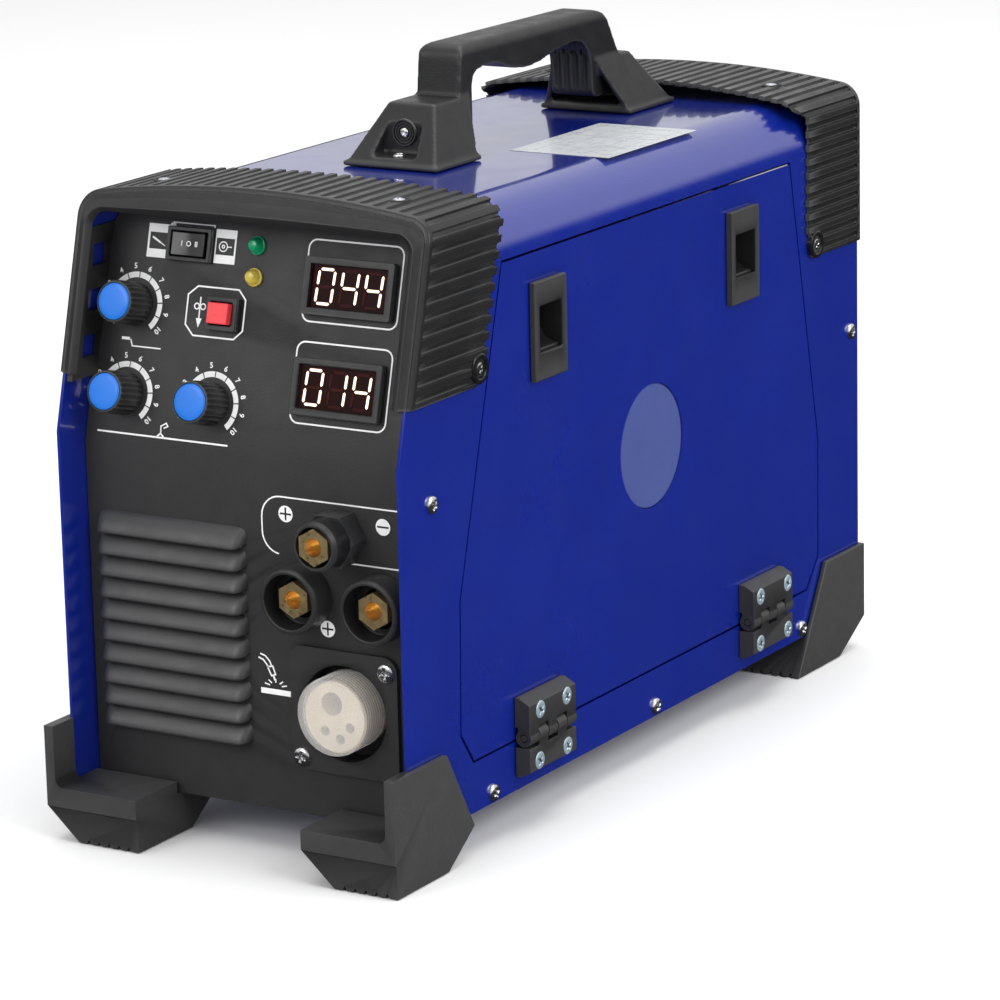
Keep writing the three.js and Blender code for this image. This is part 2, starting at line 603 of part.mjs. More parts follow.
const FRONT_BOSS = [CASE_FRONT + 65.5, HOOD_BOTTOM + 7.5];
const REAR_BOSS = [CASE_REAR - 49.8, HOOD_BOTTOM + 6];
const RIM_OPENING = HOOD_CROWN - 15;   // upper edge of the opening in the front rim
function frontHood() {
  const nose = (z) => edgeY(z) - 2.2;
  const top = HOOD_CROWN + 1;
  const browZ = HOOD_CROWN - 10;
  const at = (y, z) => [CASE_FRONT + y, z];
  const profile = outline([[nose(HOOD_BOTTOM), HOOD_BOTTOM], at(62.5, HOOD_BOTTOM), at(72.5, HOOD_BOTTOM + 13),
    at(81.5, HOOD_BOTTOM + 42), at(89.5, HOOD_CROWN - 19), at(85.5, top), [nose(browZ) + 9, top],
    [nose(browZ) + 2.5, HOOD_CROWN - 4], [nose(browZ), browZ]]);
  const ribsFrom = CASE_FRONT + 27.5;
  const outerPart = hood(profile, ribsFrom, CASE_FRONT + 113.5, CASE_FRONT - 26.5, ribsFrom);
  const opening = both(
    solid(alongY(roundedRect(2 * (SIDE - HOOD_NOSE + 3), 200, 6), CASE_FRONT - 26.5, PANEL_Y + 60)
      .translate(0, 0, RIM_OPENING - 101)),
    solid(block(-SIDE, SIDE, CASE_FRONT - 26.5, 0, HOOD_BOTTOM - 20, RIM_OPENING)),
  );
  // Behind the rim the hood lies over the sheet; the opening runs through to the leaning face.
  const [low, high] = [HOOD_BOTTOM - 16, HOOD_CROWN + 17];
  const rimBack = outline([[edgeY(low) - GAP, low], [0, low], [0, high], [edgeY(high) - GAP, high]]);
  const room = both(solid(caseRoom(CASE_FRONT - 46.5, 0)), solid(alongX(rimBack, -SIDE - 2, SIDE + 2)));
  let body = outerPart.subtract(room).subtract(opening);
  for (const boss of hoodBoss(...FRONT_BOSS)) body = body.add(solid(boss));
  return body;
}

function rearHood() {
  const top = HOOD_CROWN + 1;
  const rear = FOOT_Y - 0.5;
  const at = (y, z) => [CASE_REAR - y, z];
  const profile = outline([[rear, HOOD_BOTTOM - 1], [rear, HOOD_CROWN - 9], [rear - 8, top], at(70.5, top),
    at(68.5, HOOD_CROWN - 5), at(57.5, HOOD_CROWN - 15), at(58.5, HOOD_BOTTOM + 15), at(54.5, HOOD_BOTTOM - 1)]);
  const outerPart = hood(profile, CASE_REAR - 108.5, rear - 10, rear - 10, rear + 5);
  // The rear rim covers the ends of the sheet and leaves the rear panel open.
  const [from, past, low] = [CASE_REAR - 128.5, CASE_REAR + 31.5, HOOD_BOTTOM - 66];
  const rimRoom = both(solid(caseRoom(from, past)),
    solid(block(-SIDE - 2, SIDE + 2, from, CASE_REAR + GAP, low, HOOD_CROWN + 17)));
  const inner = solid(block(-SIDE + 6, SIDE - 6, from, past, low, CASE_TOP - 9));
  let body = outerPart.subtract(rimRoom).subtract(inner);
  for (const boss of hoodBoss(...REAR_BOSS)) body = body.add(solid(boss));
  return body;
}
node(machine, 'hood_front', frontHood(), blackPlastic);
node(machine, 'hood_rear', rearHood(), blackPlastic);

// ---------------------------------------------------------------- feet
const CHAMFER_X = 16.3;
const CHAMFER_Z = 15.4;
const FOOT_WALL = 5;
const LEDGE_FILLET = 5;
const SOLE_STEP = 0.7;           // band under the shoulder line stands back
// Where a foot ends under the case, measured from its outer end face.
const FRONT_FOOT = { sole: 44 - FOOT_Y, heel: 67 - FOOT_Y, top: 45 - FOOT_Y };
const REAR_FOOT = { sole: FOOT_Y - 28, heel: FOOT_Y - 75, top: FOOT_Y - 43 };

// The scalloped sole between two places across the foot.
function tread(from, to) {
  const count = Math.round((to - from) / TREAD_PITCH);
  const pitch = (to - from) / count;
  const points = [[from, 0]];
  for (let i = 1; i < count; i += 1) {
    const x = from + i * pitch;
    points.push([x - TREAD_GROOVE / 2, 0], [x, TREAD_DEPTH], [x + TREAD_GROOVE / 2, 0]);
  }
  points.push([to, 0]);
  return points;
}

// Section of a foot in (x, z), x measured inwards from its outer face; one lower edge is bevelled.
function footSection(chamferOuter) {
  const sole = chamferOuter ? tread(CHAMFER_X, FOOT_WIDTH) : tread(0, FOOT_WIDTH - CHAMFER_X);
  const bevel = [chamferOuter ? 0 : FOOT_WIDTH, CHAMFER_Z];
  const edges = chamferOuter ? [[0, LEG_TOP], bevel, ...sole] : [[0, LEG_TOP], ...sole, bevel];
  return [...edges, [FOOT_WIDTH, LEG_TOP]];
}

function footBlank(side, end, chamferOuter) {
  const section = outline(footSection(chamferOuter).map(([x, z]) => [side * (FOOT_X - x), z]));
  const face = end * FOOT_Y;
  const step = -end * SOLE_STEP;
  const depth = end < 0
    ? [[face + 2 * step, 0], [FRONT_FOOT.sole, 0], [FRONT_FOOT.heel, CHAMFER_Z], [FRONT_FOOT.top, LEG_TOP],
      [face, LEG_TOP], [face, CHAMFER_Z + SOLE_STEP], [face + step, CHAMFER_Z]]
    : [[REAR_FOOT.heel, 0], [REAR_FOOT.sole, 0], [face, CHAMFER_Z], [face, LEG_TOP], [REAR_FOOT.top, LEG_TOP]];
  const across = solid(alongY(section, -FOOT_Y - 1, FOOT_Y + 1));
  return both(across, solid(alongX(outline(depth), -FOOT_X - 1, FOOT_X + 1)));
}

// Two distances inwards from the outer face of a foot, as an ordered pair of x values.
const inwards = (side, a, b) => [side * (FOOT_X - a), side * (FOOT_X - b)].sort((p, q) => p - q);

function foot(side, end, chamferOuter) {
  const wall = FOOT_X - SIDE - GAP;
  const past = FOOT_WIDTH + 5;
  const above = LEG_TOP + 1;
  const bottom = CASE_BOTTOM - GAP;
  // Room over the ledge, with a fillet where the ledge meets the outer wall.
  const ledge = new THREE.Shape();
  const x = (d) => side * (FOOT_X - d);
  ledge.moveTo(x(past), LEDGE_TOP);
  ledge.lineTo(x(FOOT_WALL + LEDGE_FILLET), LEDGE_TOP);
  ledge.quadraticCurveTo(x(FOOT_WALL), LEDGE_TOP, x(FOOT_WALL), LEDGE_TOP + LEDGE_FILLET);
  ledge.lineTo(x(FOOT_WALL), above);
  ledge.lineTo(x(past), above);
  const tools = [];
  if (end < 0) {
    const panel = PANEL_Y - GAP;
    const edge = CASE_FRONT - GAP;
    tools.push(alongY(ledge, -FOOT_Y - 1, panel, 5));
    tools.push(block(...inwards(side, wall, past), panel - 2, FRONT_FOOT.heel + 5, bottom, above));
    tools.push(block(...inwards(side, wall, past), edge, panel, LEDGE_TOP, above));
    tools.push(block(...inwards(side, wall, wall + SHEET + 2 * GAP), edge, panel, bottom, above));
  } else {
    const edge = CASE_REAR + GAP;
    tools.push(alongY(ledge, edge - 5, FOOT_Y + 1, 5));
    tools.push(block(...inwards(side, wall, past), REAR_FOOT.heel - 5, edge, bottom, above));
  }
  return cut(footBlank(side, end, chamferOuter), ...tools);
}

const FEET = [['front_left', -1, -1, true], ['front_right', 1, -1, false], ['rear_left', -1, 1, false],
  ['rear_right', 1, 1, false]];
for (const [name, side, end, chamferOuter] of FEET) {
  node(machine, `foot_${name}`, foot(side, end, chamferOuter), look(paint.black, 0.7));
}

// ---------------------------------------------------------------- carrying handle
const PLINTH = 2.5;
const NECK_Z = CASE_TOP + 28.5;
const POST = 9.5;                // post depth along the handle
const GRIP_FRONT = -24;
const GRIP_REAR = 121;
const GRIP_CORNER = 5;
const LEG_BOTTOM = CASE_TOP + 9.5;          // lowest line of the grip's grooved rear leg
const LEG_FRONT = 98;
const LEG_GROOVE = 1.7;
const LEG_GROOVE_PITCH = 5;
const POCKET_Z = [CASE_TOP + 5, NECK_Z - 3];

// A block with four tapering sides between two levels of [z, half width, y0, y1].
function taper(lo, hi) {
  const box = new THREE.BoxGeometry(1, 1, 1);
  const p = box.attributes.position;
  for (let i = 0; i < p.count; i += 1) {
    const [z, half, y0, y1] = p.getZ(i) < 0 ? lo : hi;
    p.setXYZ(i, Math.sign(p.getX(i)) * half, p.getY(i) < 0 ? y0 : y1, z);
  }
  return box;
}

function handleFoot(y0, y1, topY0, topY1) {
  const base = CASE_TOP + GAP;
  const w = HANDLE_BASE_WIDTH / 2;
  const plinth = taper([base, w, y0, y1], [base + PLINTH, w, y0, y1]);
  const neck = GRIP_WIDTH / 2 + 0.7;
  const cone = taper([base + PLINTH - 0.5, w - 1.5, y0 + 1.5, y1 - 1.5], [NECK_Z, neck, topY0, topY1]);
  return join(plinth, cone);
}

function handleGrip() {
  // The underside waves where the fingers go: distances from the front of the grip and below its top.
  const wave = (controlY, controlDrop, y, drop) =>
    shape.quadraticCurveTo(GRIP_FRONT + controlY, HANDLE_TOP - controlDrop, GRIP_FRONT + y, HANDLE_TOP - drop);
  const shape = new THREE.Shape();
  shape.moveTo(GRIP_FRONT - 4, NECK_Z - 8);
  shape.lineTo(GRIP_FRONT + POST, NECK_Z - 20);
  shape.lineTo(GRIP_FRONT + POST, HANDLE_TOP - 20);
  wave(POST, 15, 15, 13.5);
  wave(28, 10.5, 40, 15.5);
  wave(57, 20.5, 74, 17.5);
  wave(96, 12, 108, 13);
  shape.quadraticCurveTo(LEG_FRONT - 5, HANDLE_TOP - 13, LEG_FRONT - 1, NECK_Z);
  shape.lineTo(LEG_FRONT, LEG_BOTTOM + 4);
  shape.quadraticCurveTo(LEG_FRONT + 1, LEG_BOTTOM, LEG_FRONT + 6, LEG_BOTTOM);
  shape.lineTo(GRIP_REAR + 6, LEG_BOTTOM + 2);
  shape.lineTo(GRIP_REAR + 4, NECK_Z);
  shape.lineTo(GRIP_REAR - 7, HANDLE_TOP - 5);
  shape.quadraticCurveTo(GRIP_REAR - 11, HANDLE_TOP, GRIP_REAR - 19, HANDLE_TOP);
  shape.lineTo(GRIP_FRONT + 8, HANDLE_TOP);
  shape.quadraticCurveTo(GRIP_FRONT, HANDLE_TOP, GRIP_FRONT - 1, HANDLE_TOP - 6);
  const bow = solid(alongX(shape, -GRIP_WIDTH / 2, GRIP_WIDTH / 2, 6));
  // Long edges along the top are rounded.
  const tall = HANDLE_TOP - CASE_TOP;
  const section = alongY(roundedRect(GRIP_WIDTH, 2 * tall, GRIP_CORNER), GRIP_FRONT - 20, GRIP_REAR + 20, 5);
  return both(bow, solid(section.translate(0, 0, HANDLE_TOP - tall)));
}

function handle() {
  const frontFoot = handleFoot(HANDLE_FRONT, HANDLE_FRONT + HANDLE_BASE_DEPTH, -50, -18);
  const rearFoot = handleFoot(HANDLE_REAR - 46, HANDLE_REAR, 100, 134);
  // The rear foot is hollow towards the grip, which stands in front of it on a grooved leg.
  const [low, high] = POCKET_Z;
  const rearHollow = taper([low, 20, HANDLE_REAR - 50, HANDLE_REAR - 28], [high, 11, 90, 122]);
  const grooves = [-1.5, -0.5, 0.5, 1.5].map((n) =>
    bar('z', LEG_GROOVE, LEG_BOTTOM - 5, NECK_Z + 7, n * LEG_GROOVE_PITCH, LEG_FRONT - 1, 12));
  const grip = cut(handleGrip(), ...grooves);
  const screwPocket = (y0, y1) => taper([low, 12, y0, y1], [high, 8, y0, y1]);
  const body = frontFoot.add(cut(rearFoot, rearHollow)).add(grip);
  return cut(body, screwPocket(HANDLE_FRONT - 5, HANDLE_FRONT + 15), screwPocket(HANDLE_REAR - 13, HANDLE_REAR + 5));
}
node(machine, 'handle', handle(), look(paint.black, 0.5));

// ---------------------------------------------------------------- side door, window, latches and hinges
const LATCH_HOLE = [LATCH_WIDTH - 5, LATCH_HEIGHT - 8];
function door() {
  let panel = solid(alongX(doorOutline(), SIDE - SHEET, SIDE));
  // Turned-in edge inside the sheet along the top and the bottom.
  const flange = (z) => block(SIDE - 7.5, SIDE - SHEET + 0.2, -110, 140, z - SHEET / 2, z + SHEET / 2);
  panel = panel.add(solid(flange(DOOR_TOP - 6))).add(solid(flange(DOOR_BOTTOM + 8)));
  const tools = [bar('x', WINDOW_RADIUS, SIDE - 5, SIDE + 1, WINDOW_Y, WINDOW_Z, 48)];
  for (const [, y] of LATCH_PLACES) {
    const [w, h] = LATCH_HOLE;
    tools.push(block(SIDE - 5, SIDE + 1, y - w / 2, y + w / 2, LATCH_Z - h / 2, LATCH_Z + h / 2));
  }
  return cut(panel, ...tools);
}

function doorWindow() {
  const flange = bar('x', WINDOW_RADIUS + 5, SIDE - SHEET - GAP - 1.5, SIDE - SHEET - GAP, WINDOW_Y, WINDOW_Z, 48);
  const pane = bar('x', WINDOW_RADIUS - GAP, SIDE - SHEET - GAP - 1, SIDE - 0.7, WINDOW_Y, WINDOW_Z, 48);
  return join(flange, pane);
}

// A flush latch: a face plate with a finger opening, a well behind it and a slide with a tongue.
function latchHousing() {
  const back = LATCH_REACH - LATCH_FACE;
  const [w, h] = LATCH_HOLE.map((v) => v - 2 * GAP);
  const [hw, hh] = [w / 2 - 1.5, h / 2 - 1.5];
  const plate = block(GAP, LATCH_REACH, -LATCH_WIDTH / 2, LATCH_WIDTH / 2, -LATCH_HEIGHT / 2, LATCH_HEIGHT / 2);
  const well = block(-14, GAP + 1, -w / 2, w / 2, -h / 2, h / 2);
  const hollow = block(-12.5, back, -hw, hw, -hh, hh);
  const opening = block(back - 1, LATCH_REACH + 1, -hw, hw, ...LATCH_WINDOW);
  const tongueSlot = block(-12, -8, -6.6, 6.6, hh - 1.5, h / 2 + 1);
  return cut(join(plate, well), hollow, opening, tongueSlot);
}

function latchSlide() {
  const [w, h] = LATCH_HOLE.map((v) => v - 2 * GAP);
  const halfW = w / 2 - 1.5 - SLIP;
  const low = -h / 2 + 1.5 + LATCH_TRAVEL + SLIP;
  const face = LATCH_REACH - LATCH_FACE - SLIP;
  const profile = new THREE.Shape();
  profile.moveTo(-12, low);
  profile.lineTo(face, low);
  profile.lineTo(face, low + 2);
  profile.quadraticCurveTo(-7, low + 3, -8.5, low + 11);
  profile.lineTo(-8.5, h / 2 - 2 - SLIP);
  profile.lineTo(-12, h / 2 - 2 - SLIP);
  const ramp = alongY(profile, -halfW, halfW, 6);
  const tongueTop = DOOR_TOP + LATCH_TRAVEL + DOOR_GAP - 0.5 - LATCH_Z;
  return join(ramp, block(-11.5, -8.5, -6, 6, h / 2 - 4, tongueTop));
}

node(machine, 'door', door(), bluePaint);
node(machine, 'door_window', doorWindow(), look(0x46609c, 0.1));
for (const [name, y] of LATCH_PLACES) {
  node(machine, `latch_housing_${name}`, latchHousing(), blackPlastic).position.set(SIDE, y, LATCH_Z);
  node(machine, `latch_slide_${name}`, latchSlide(), look(0x1d1e20, 0.5)).position.set(SIDE, y, LATCH_Z);
}

// Leaf of a hinge in (x, z) about the pin: a plate on the sheet that rises to its barrel.
const KNUCKLES = 5;
function hingeLeaf(up) {
  const back = SIDE + GAP - HINGE_X;
  const tip = up * HINGE_HEIGHT / 2;
  const plate = outline([[back, up * (HINGE_BARREL + SLIP)], [HINGE_BARREL - 0.6, up * (HINGE_BARREL + SLIP)],
    [HINGE_BARREL - 0.6, tip - up * 3], [back + 2.6, tip], [back, tip]]);
  let leaf = solid(alongY(plate, -HINGE_WIDTH / 2, HINGE_WIDTH / 2));
  const width = HINGE_WIDTH / KNUCKLES;
  for (let i = 0; i < KNUCKLES; i += 1) {
    if ((i % 2 === 0) !== (up > 0)) continue;
    const y0 = -HINGE_WIDTH / 2 + i * width + (i > 0 ? GAP : 0);
    const y1 = -HINGE_WIDTH / 2 + (i + 1) * width - (i < KNUCKLES - 1 ? GAP : 0);
    const arm = block(-HINGE_BARREL * 0.7, HINGE_BARREL - 0.6, y0, y1, Math.min(0, up * (HINGE_BARREL + 2)),
      Math.max(0, up * (HINGE_BARREL + 2)));
    leaf = leaf.add(join(bar('y', HINGE_BARREL, y0, y1, 0, 0, 20), arm));
  }
  // The pin is pressed into the lower leaf and the upper one turns on it.
  if (up < 0) return leaf.add(solid(bar('y', HINGE_PIN, -HINGE_WIDTH / 2, HINGE_WIDTH / 2, 0, 0, 16)));
  return cut(leaf, bar('y', HINGE_PIN + GAP, -HINGE_WIDTH, HINGE_WIDTH, 0, 0, 16));
}

for (const [name, y] of HINGE_PLACES) {
  node(machine, `hinge_base_${name}`, hingeLeaf(-1), blackPlastic).position.set(HINGE_X, y, HINGE_AXIS_Z);
  node(machine, `hinge_leaf_${name}`, hingeLeaf(1), blackPlastic).position.set(HINGE_X, y, HINGE_AXIS_Z);
}

// ---------------------------------------------------------------- rear panel, fan, switch, inlets
const FAN_BORE = FAN_SIZE / 2 - 3;
const MAINS_SWITCH = [45, 185];
const MAINS_SIZE = [32, 24];
const GLAND = [-60, 45];
const GAS = [45, 60];

function rearPanel() {
  let plate = solid(block(-INNER + GAP, INNER - GAP, REAR_Y, REAR_Y + 2, CASE_BOTTOM, CASE_TOP - SHEET - CASE_CORNER));
  const tools = [block(MAINS_SWITCH[0] - MAINS_SIZE[0] / 2 + 1.5, MAINS_SWITCH[0] + MAINS_SIZE[0] / 2 - 1.5,
    REAR_Y - 5, REAR_Y + 5, MAINS_SWITCH[1] - MAINS_SIZE[1] / 2 + 1.5, MAINS_SWITCH[1] + MAINS_SIZE[1] / 2 - 1.5),
  bar('y', 8 + GAP, REAR_Y - 5, REAR_Y + 5, ...GLAND), bar('y', 5 + GAP, REAR_Y - 5, REAR_Y + 5, ...GAS)];
  const rows = 7;
  for (let i = 0; i < rows; i += 1) {
    const z = FAN_Z - FAN_BORE + (i + 0.5) * (2 * FAN_BORE / rows);
    const half = Math.sqrt(FAN_BORE ** 2 - (z - FAN_Z) ** 2);
    tools.push(block(FAN_X - half, FAN_X - 2, REAR_Y - 5, REAR_Y + 5, z - 3, z + 3));
    tools.push(block(FAN_X + 2, FAN_X + half, REAR_Y - 5, REAR_Y + 5, z - 3, z + 3));
  }
  plate = cut(plate, ...tools);
  return plate;
}

function fanFrame() {
  const y0 = REAR_Y - GAP - FAN_DEPTH;
  const y1 = REAR_Y - GAP;
  const half = FAN_SIZE / 2;
  let frame = cut(solid(block(-half, half, y0, y1, -half, half)), bar('y', FAN_BORE, y0 - 1, y1 + 1, 0, 0, 36));
  const struts = [bar('y', 14, y1 - 3, y1, 0, 0, 24), bar('y', 3, y1 - 14, y1 - 2, 0, 0, 12)];
  for (let i = 0; i < 3; i += 1) {
    const strut = block(0, half - 1, y1 - 3, y1, -2, 2).rotateY((i * Math.PI * 2) / 3 + 0.5);
    struts.push(strut);
  }
  frame = frame.add(join(...struts));
  return frame;
}

function fanRotor() {
  const y1 = REAR_Y - GAP - 3 - SLIP;
  const y0 = y1 - 18;
  let rotor = solid(bar('y', 15, y0, y1, 0, 0, 28));
  for (let i = 0; i < 7; i += 1) {
    const blade = new THREE.BoxGeometry(FAN_BORE - 15 + 1, 1.6, 17).translate((FAN_BORE + 13) / 2 - 0.5, 0, 0);
    blade.rotateX(Math.PI / 4).translate(0, (y0 + y1) / 2, 0).rotateY((i * Math.PI * 2) / 7);
    rotor = rotor.add(solid(blade));
  }
  return cut(rotor, bar('y', 3 + SLIP, y0 + 5, y1 + 1, 0, 0, 16));
}

node(machine, 'rear_panel', rearPanel(), look(0x1b1c1e, 0.5));
node(machine, 'fan_frame', fanFrame(), blackPlastic).position.set(FAN_X, 0, FAN_Z);
node(machine, 'fan_rotor', fanRotor(), look(0x17181a, 0.4)).position.set(FAN_X, 0, FAN_Z);

const rearSide = new THREE.Group();
rearSide.position.set(0, REAR_Y + 2, 0);
rearSide.rotation.z = Math.PI;
machine.add(rearSide);
const MAINS_RIM = 3;
node(rearSide, 'mains_switch_frame', switchFrame(MAINS_SIZE, MAINS_RIM, 3, 22), blackPlastic)
  .position.set(-MAINS_SWITCH[0], 0, MAINS_SWITCH[1]);
node(rearSide, 'mains_rocker', rocker(MAINS_SIZE[0] - 2 * MAINS_RIM - 3, MAINS_SIZE[1] - 2 * MAINS_RIM - SLIP * 2, 4, 8),
  look(0xb01818, 0.3)).position.set(-MAINS_SWITCH[0], 0, MAINS_SWITCH[1]);

function gland() {
  const nut = alongY(hexagon(22), -8, -GAP);
  const dome = turned([[0, -18], [7, -18], [9.5, -15], [10, -7.5], [0, -7.5]], 24);
  const thread = bar('y', 8, -1, 12, 0, 0, 24);
  return cut(join(nut, dome, thread), bar('y', 5, -20, 13, 0, 0, 20));
}
function gasInlet() {
  const nut = alongY(hexagon(14), -5, -GAP);
  const barb = turned([[0, -18], [3, -18], [4, -14.5], [3, -14.5], [4, -11], [3, -11], [3, -4], [0, -4]], 20);
  const thread = bar('y', 5, -1, 14, 0, 0, 20);
  return cut(join(nut, barb, thread), bar('y', 1.8, -20, 15, 0, 0, 12));
}
node(rearSide, 'mains_gland', gland(), blackPlastic).position.set(-GLAND[0], 0, GLAND[1]);
node(rearSide, 'gas_inlet', gasInlet(), brass).position.set(-GAS[0], 0, GAS[1]);

// ---------------------------------------------------------------- divider and electronics
const FLOOR = CASE_BOTTOM + SHEET + GAP;
const ROOF = CASE_TOP - SHEET - GAP;
function divider() {
  const inside = PANEL_WALL + 2;
  const profile = outline([[PANEL_Y + inside, FLOOR], [REAR_Y - 2, FLOOR], [REAR_Y - 2, ROOF],
    [panelY(ROOF) + inside, ROOF], [PANEL_Y + inside, CREASE_Z]]);
  return cut(solid(alongX(profile, DIVIDER_X, DIVIDER_X + SHEET)),
    bar('x', MOTOR_RADIUS + 1, DIVIDER_X - 2, DIVIDER_X + 5, ROLL_Y, FEEDER_AXIS_Z, 28));
}

const MOTOR_RADIUS = 18;
const FEEDER_AXIS_Z = TORCH_Z - WIRE / 2 - ROLL_RADIUS;
function heatsink() {
  const fins = 9;
  const points = [[-78, 60], [-22, 60]];
  const pitch = 56 / (fins * 2 - 1);
  for (let i = 0; i < fins; i += 1) {
    const x = -22 - i * 2 * pitch;
    points.push([x, 130], [x - pitch, 130]);
    if (i < fins - 1) points.push([x - pitch, 68], [x - 2 * pitch, 68]);
  }
  return alongY(outline(points.slice(1).concat([[-78, 60]])), -90, 90);
}
node(machine, 'divider', divider(), zinc);
node(machine, 'heatsink', heatsink(), look(0xa9adb2, 0.4, 1));
node(machine, 'circuit_board', block(-82, -14, -140, 140, 150, 152), look(0x1f5a34, 0.5));

// ---------------------------------------------------------------- wire feeder
const PLATE_X = DIVIDER_X + SHEET + GAP;
const ROLL_X = [SOCKET_X - 7, SOCKET_X + 7];
const ARM_X = [SOCKET_X + 9.5, SOCKET_X + 15.5];
const PIVOT = [-154, TORCH_Z + 14];
const AXLE = 4;

function feederBody() {
  const plate = block(PLATE_X, PLATE_X + 6, -168, -78, 34, 108);
  const motor = bar('x', MOTOR_RADIUS, -62, PLATE_X + 1, ROLL_Y, FEEDER_AXIS_Z, 28);
  const pivot = bar('x', AXLE, PLATE_X + 5, ARM_X[1] + 3, ...PIVOT, 20);
  const guides = [-166, -90].map((y) => block(PLATE_X + 5, SOCKET_X + 6, y, y + 12, TORCH_Z - 6, TORCH_Z + 6));
  const bores = [-166, -90].map((y) => bar('y', 2, y - 1, y + 13, SOCKET_X, TORCH_Z, 12));
  return cut(join(plate, motor, pivot, ...guides), ...bores,
    bar('x', AXLE + SLIP, PLATE_X - 8, PLATE_X + 7, ROLL_Y, FEEDER_AXIS_Z, 20));
}

// A roll on its axle: two grooves round it for the wire.
function roll(radius, x0, x1, axle0, axle1) {
  const middle = (x0 + x1) / 2;
  const profile = [[0, axle0], [AXLE, axle0], [AXLE, x0], [radius, x0], [radius, middle - 1], [radius - 0.6, middle],
    [radius, middle + 1], [radius, x1], [AXLE, x1], [AXLE, axle1], [0, axle1]];
  return turned(profile, 36).rotateZ(-Math.PI / 2);
}

const PRESSURE_Z = TORCH_Z + WIRE / 2 + PRESSURE_RADIUS;
function pressureArm() {
  const profile = outline([[PIVOT[0] - 8, PIVOT[1] - 8], [PIVOT[0] + 10, PIVOT[1] - 8], [ROLL_Y - 10, PRESSURE_Z - 7],
    [-86, PRESSURE_Z - 7], [-86, PRESSURE_Z + 8], [ROLL_Y - 10, PRESSURE_Z + 12], [PIVOT[0] - 8, PIVOT[1] + 8]]);
  const lug = block(ARM_X[0] - 14, ARM_X[1], -98, -86, PRESSURE_Z + 1, PRESSURE_Z + 8);
  return cut(join(alongX(profile, ...ARM_X), lug), bar('x', AXLE + GAP, ARM_X[0] - 1, ARM_X[1] + 1, ...PIVOT, 20),
    bar('x', AXLE + GAP, ARM_X[0] - 1, ARM_X[1] + 1, ROLL_Y, PRESSURE_Z, 20),
    bar('z', 3 + SLIP, PRESSURE_Z - 2, PRESSURE_Z + 10, TENSION[0], TENSION[1], 16));
}

const TENSION = [SOCKET_X + 3, -92];
function tensionKnob() {
  const grip = 10;
  const ring = [];
  for (let i = 0; i < grip * 2; i += 1) {
    const a = (i / (grip * 2)) * Math.PI * 2;
    const r = i % 2 ? 9 : 8.2;
    ring.push([r * Math.cos(a), r * Math.sin(a)]);
  }
  const top = extrude(outline(ring), 20).translate(0, 0, PRESSURE_Z + 8 + GAP + 2);
  const stem = bar('z', 3, PRESSURE_Z + 1, PRESSURE_Z + 12, 0, 0, 16);
  return join(top, stem);
}

node(machine, 'feeder_body', feederBody(), look(0x3a3c40, 0.5));
node(machine, 'drive_roll', roll(ROLL_RADIUS, ...ROLL_X, PLATE_X + 1, ROLL_X[1] + 2), zinc)
  .position.set(0, ROLL_Y, FEEDER_AXIS_Z);
node(machine, 'pressure_roll', roll(PRESSURE_RADIUS, ...ROLL_X, ROLL_X[0] - 1.5, ARM_X[1] + 2), zinc)
  .position.set(0, ROLL_Y, PRESSURE_Z);
node(machine, 'pressure_arm', pressureArm(), look(0xc23a2a, 0.45));
node(machine, 'tension_knob', tensionKnob(), blackPlastic).position.set(TENSION[0], TENSION[1], 0);

function spool() {
  const r = SPOOL_RADIUS;
  const bore = HUB_RADIUS + SLIP;
  const [a, b] = [SPOOL_NEAR, SPOOL_FAR];
  return turned([[bore, a], [r, a], [r, a + 3], [72, a + 3], [72, b - 3], [r, b - 3], [r, b], [bore, b], [bore, a]], 48)
    .rotateZ(-Math.PI / 2);
}
function spoolHub() {
  return turned([[0, PLATE_X], [24, PLATE_X], [24, PLATE_X + 4], [HUB_RADIUS, PLATE_X + 6], [HUB_RADIUS, SPOOL_FAR + 1.5],
    [22, SPOOL_FAR + 1.5], [22, SPOOL_FAR + 8], [0, SPOOL_FAR + 8]], 28).rotateZ(-Math.PI / 2);
}
node(machine, 'wire_spool', spool(), look(0x2a2a2c, 0.5)).position.set(0, SPOOL_Y, SPOOL_Z);
node(machine, 'spool_hub', spoolHub(), look(0x202124, 0.5)).position.set(0, SPOOL_Y, SPOOL_Z);

export default machine;
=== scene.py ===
import math
import random

import bpy
from mathutils import Matrix, Vector


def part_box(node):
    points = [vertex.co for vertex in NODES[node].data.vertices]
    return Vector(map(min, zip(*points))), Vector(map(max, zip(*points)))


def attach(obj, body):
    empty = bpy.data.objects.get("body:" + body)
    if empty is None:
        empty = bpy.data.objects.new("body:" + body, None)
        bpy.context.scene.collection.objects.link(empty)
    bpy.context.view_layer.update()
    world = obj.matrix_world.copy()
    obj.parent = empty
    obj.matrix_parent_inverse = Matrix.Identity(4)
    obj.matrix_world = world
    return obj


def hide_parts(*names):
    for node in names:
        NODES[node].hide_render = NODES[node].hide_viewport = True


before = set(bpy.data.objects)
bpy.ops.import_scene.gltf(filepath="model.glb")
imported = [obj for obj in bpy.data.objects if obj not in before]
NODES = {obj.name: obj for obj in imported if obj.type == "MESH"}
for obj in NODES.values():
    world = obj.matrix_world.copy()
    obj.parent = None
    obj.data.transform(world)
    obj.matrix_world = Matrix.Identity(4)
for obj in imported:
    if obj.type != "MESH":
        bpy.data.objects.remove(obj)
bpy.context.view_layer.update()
random.seed(7)

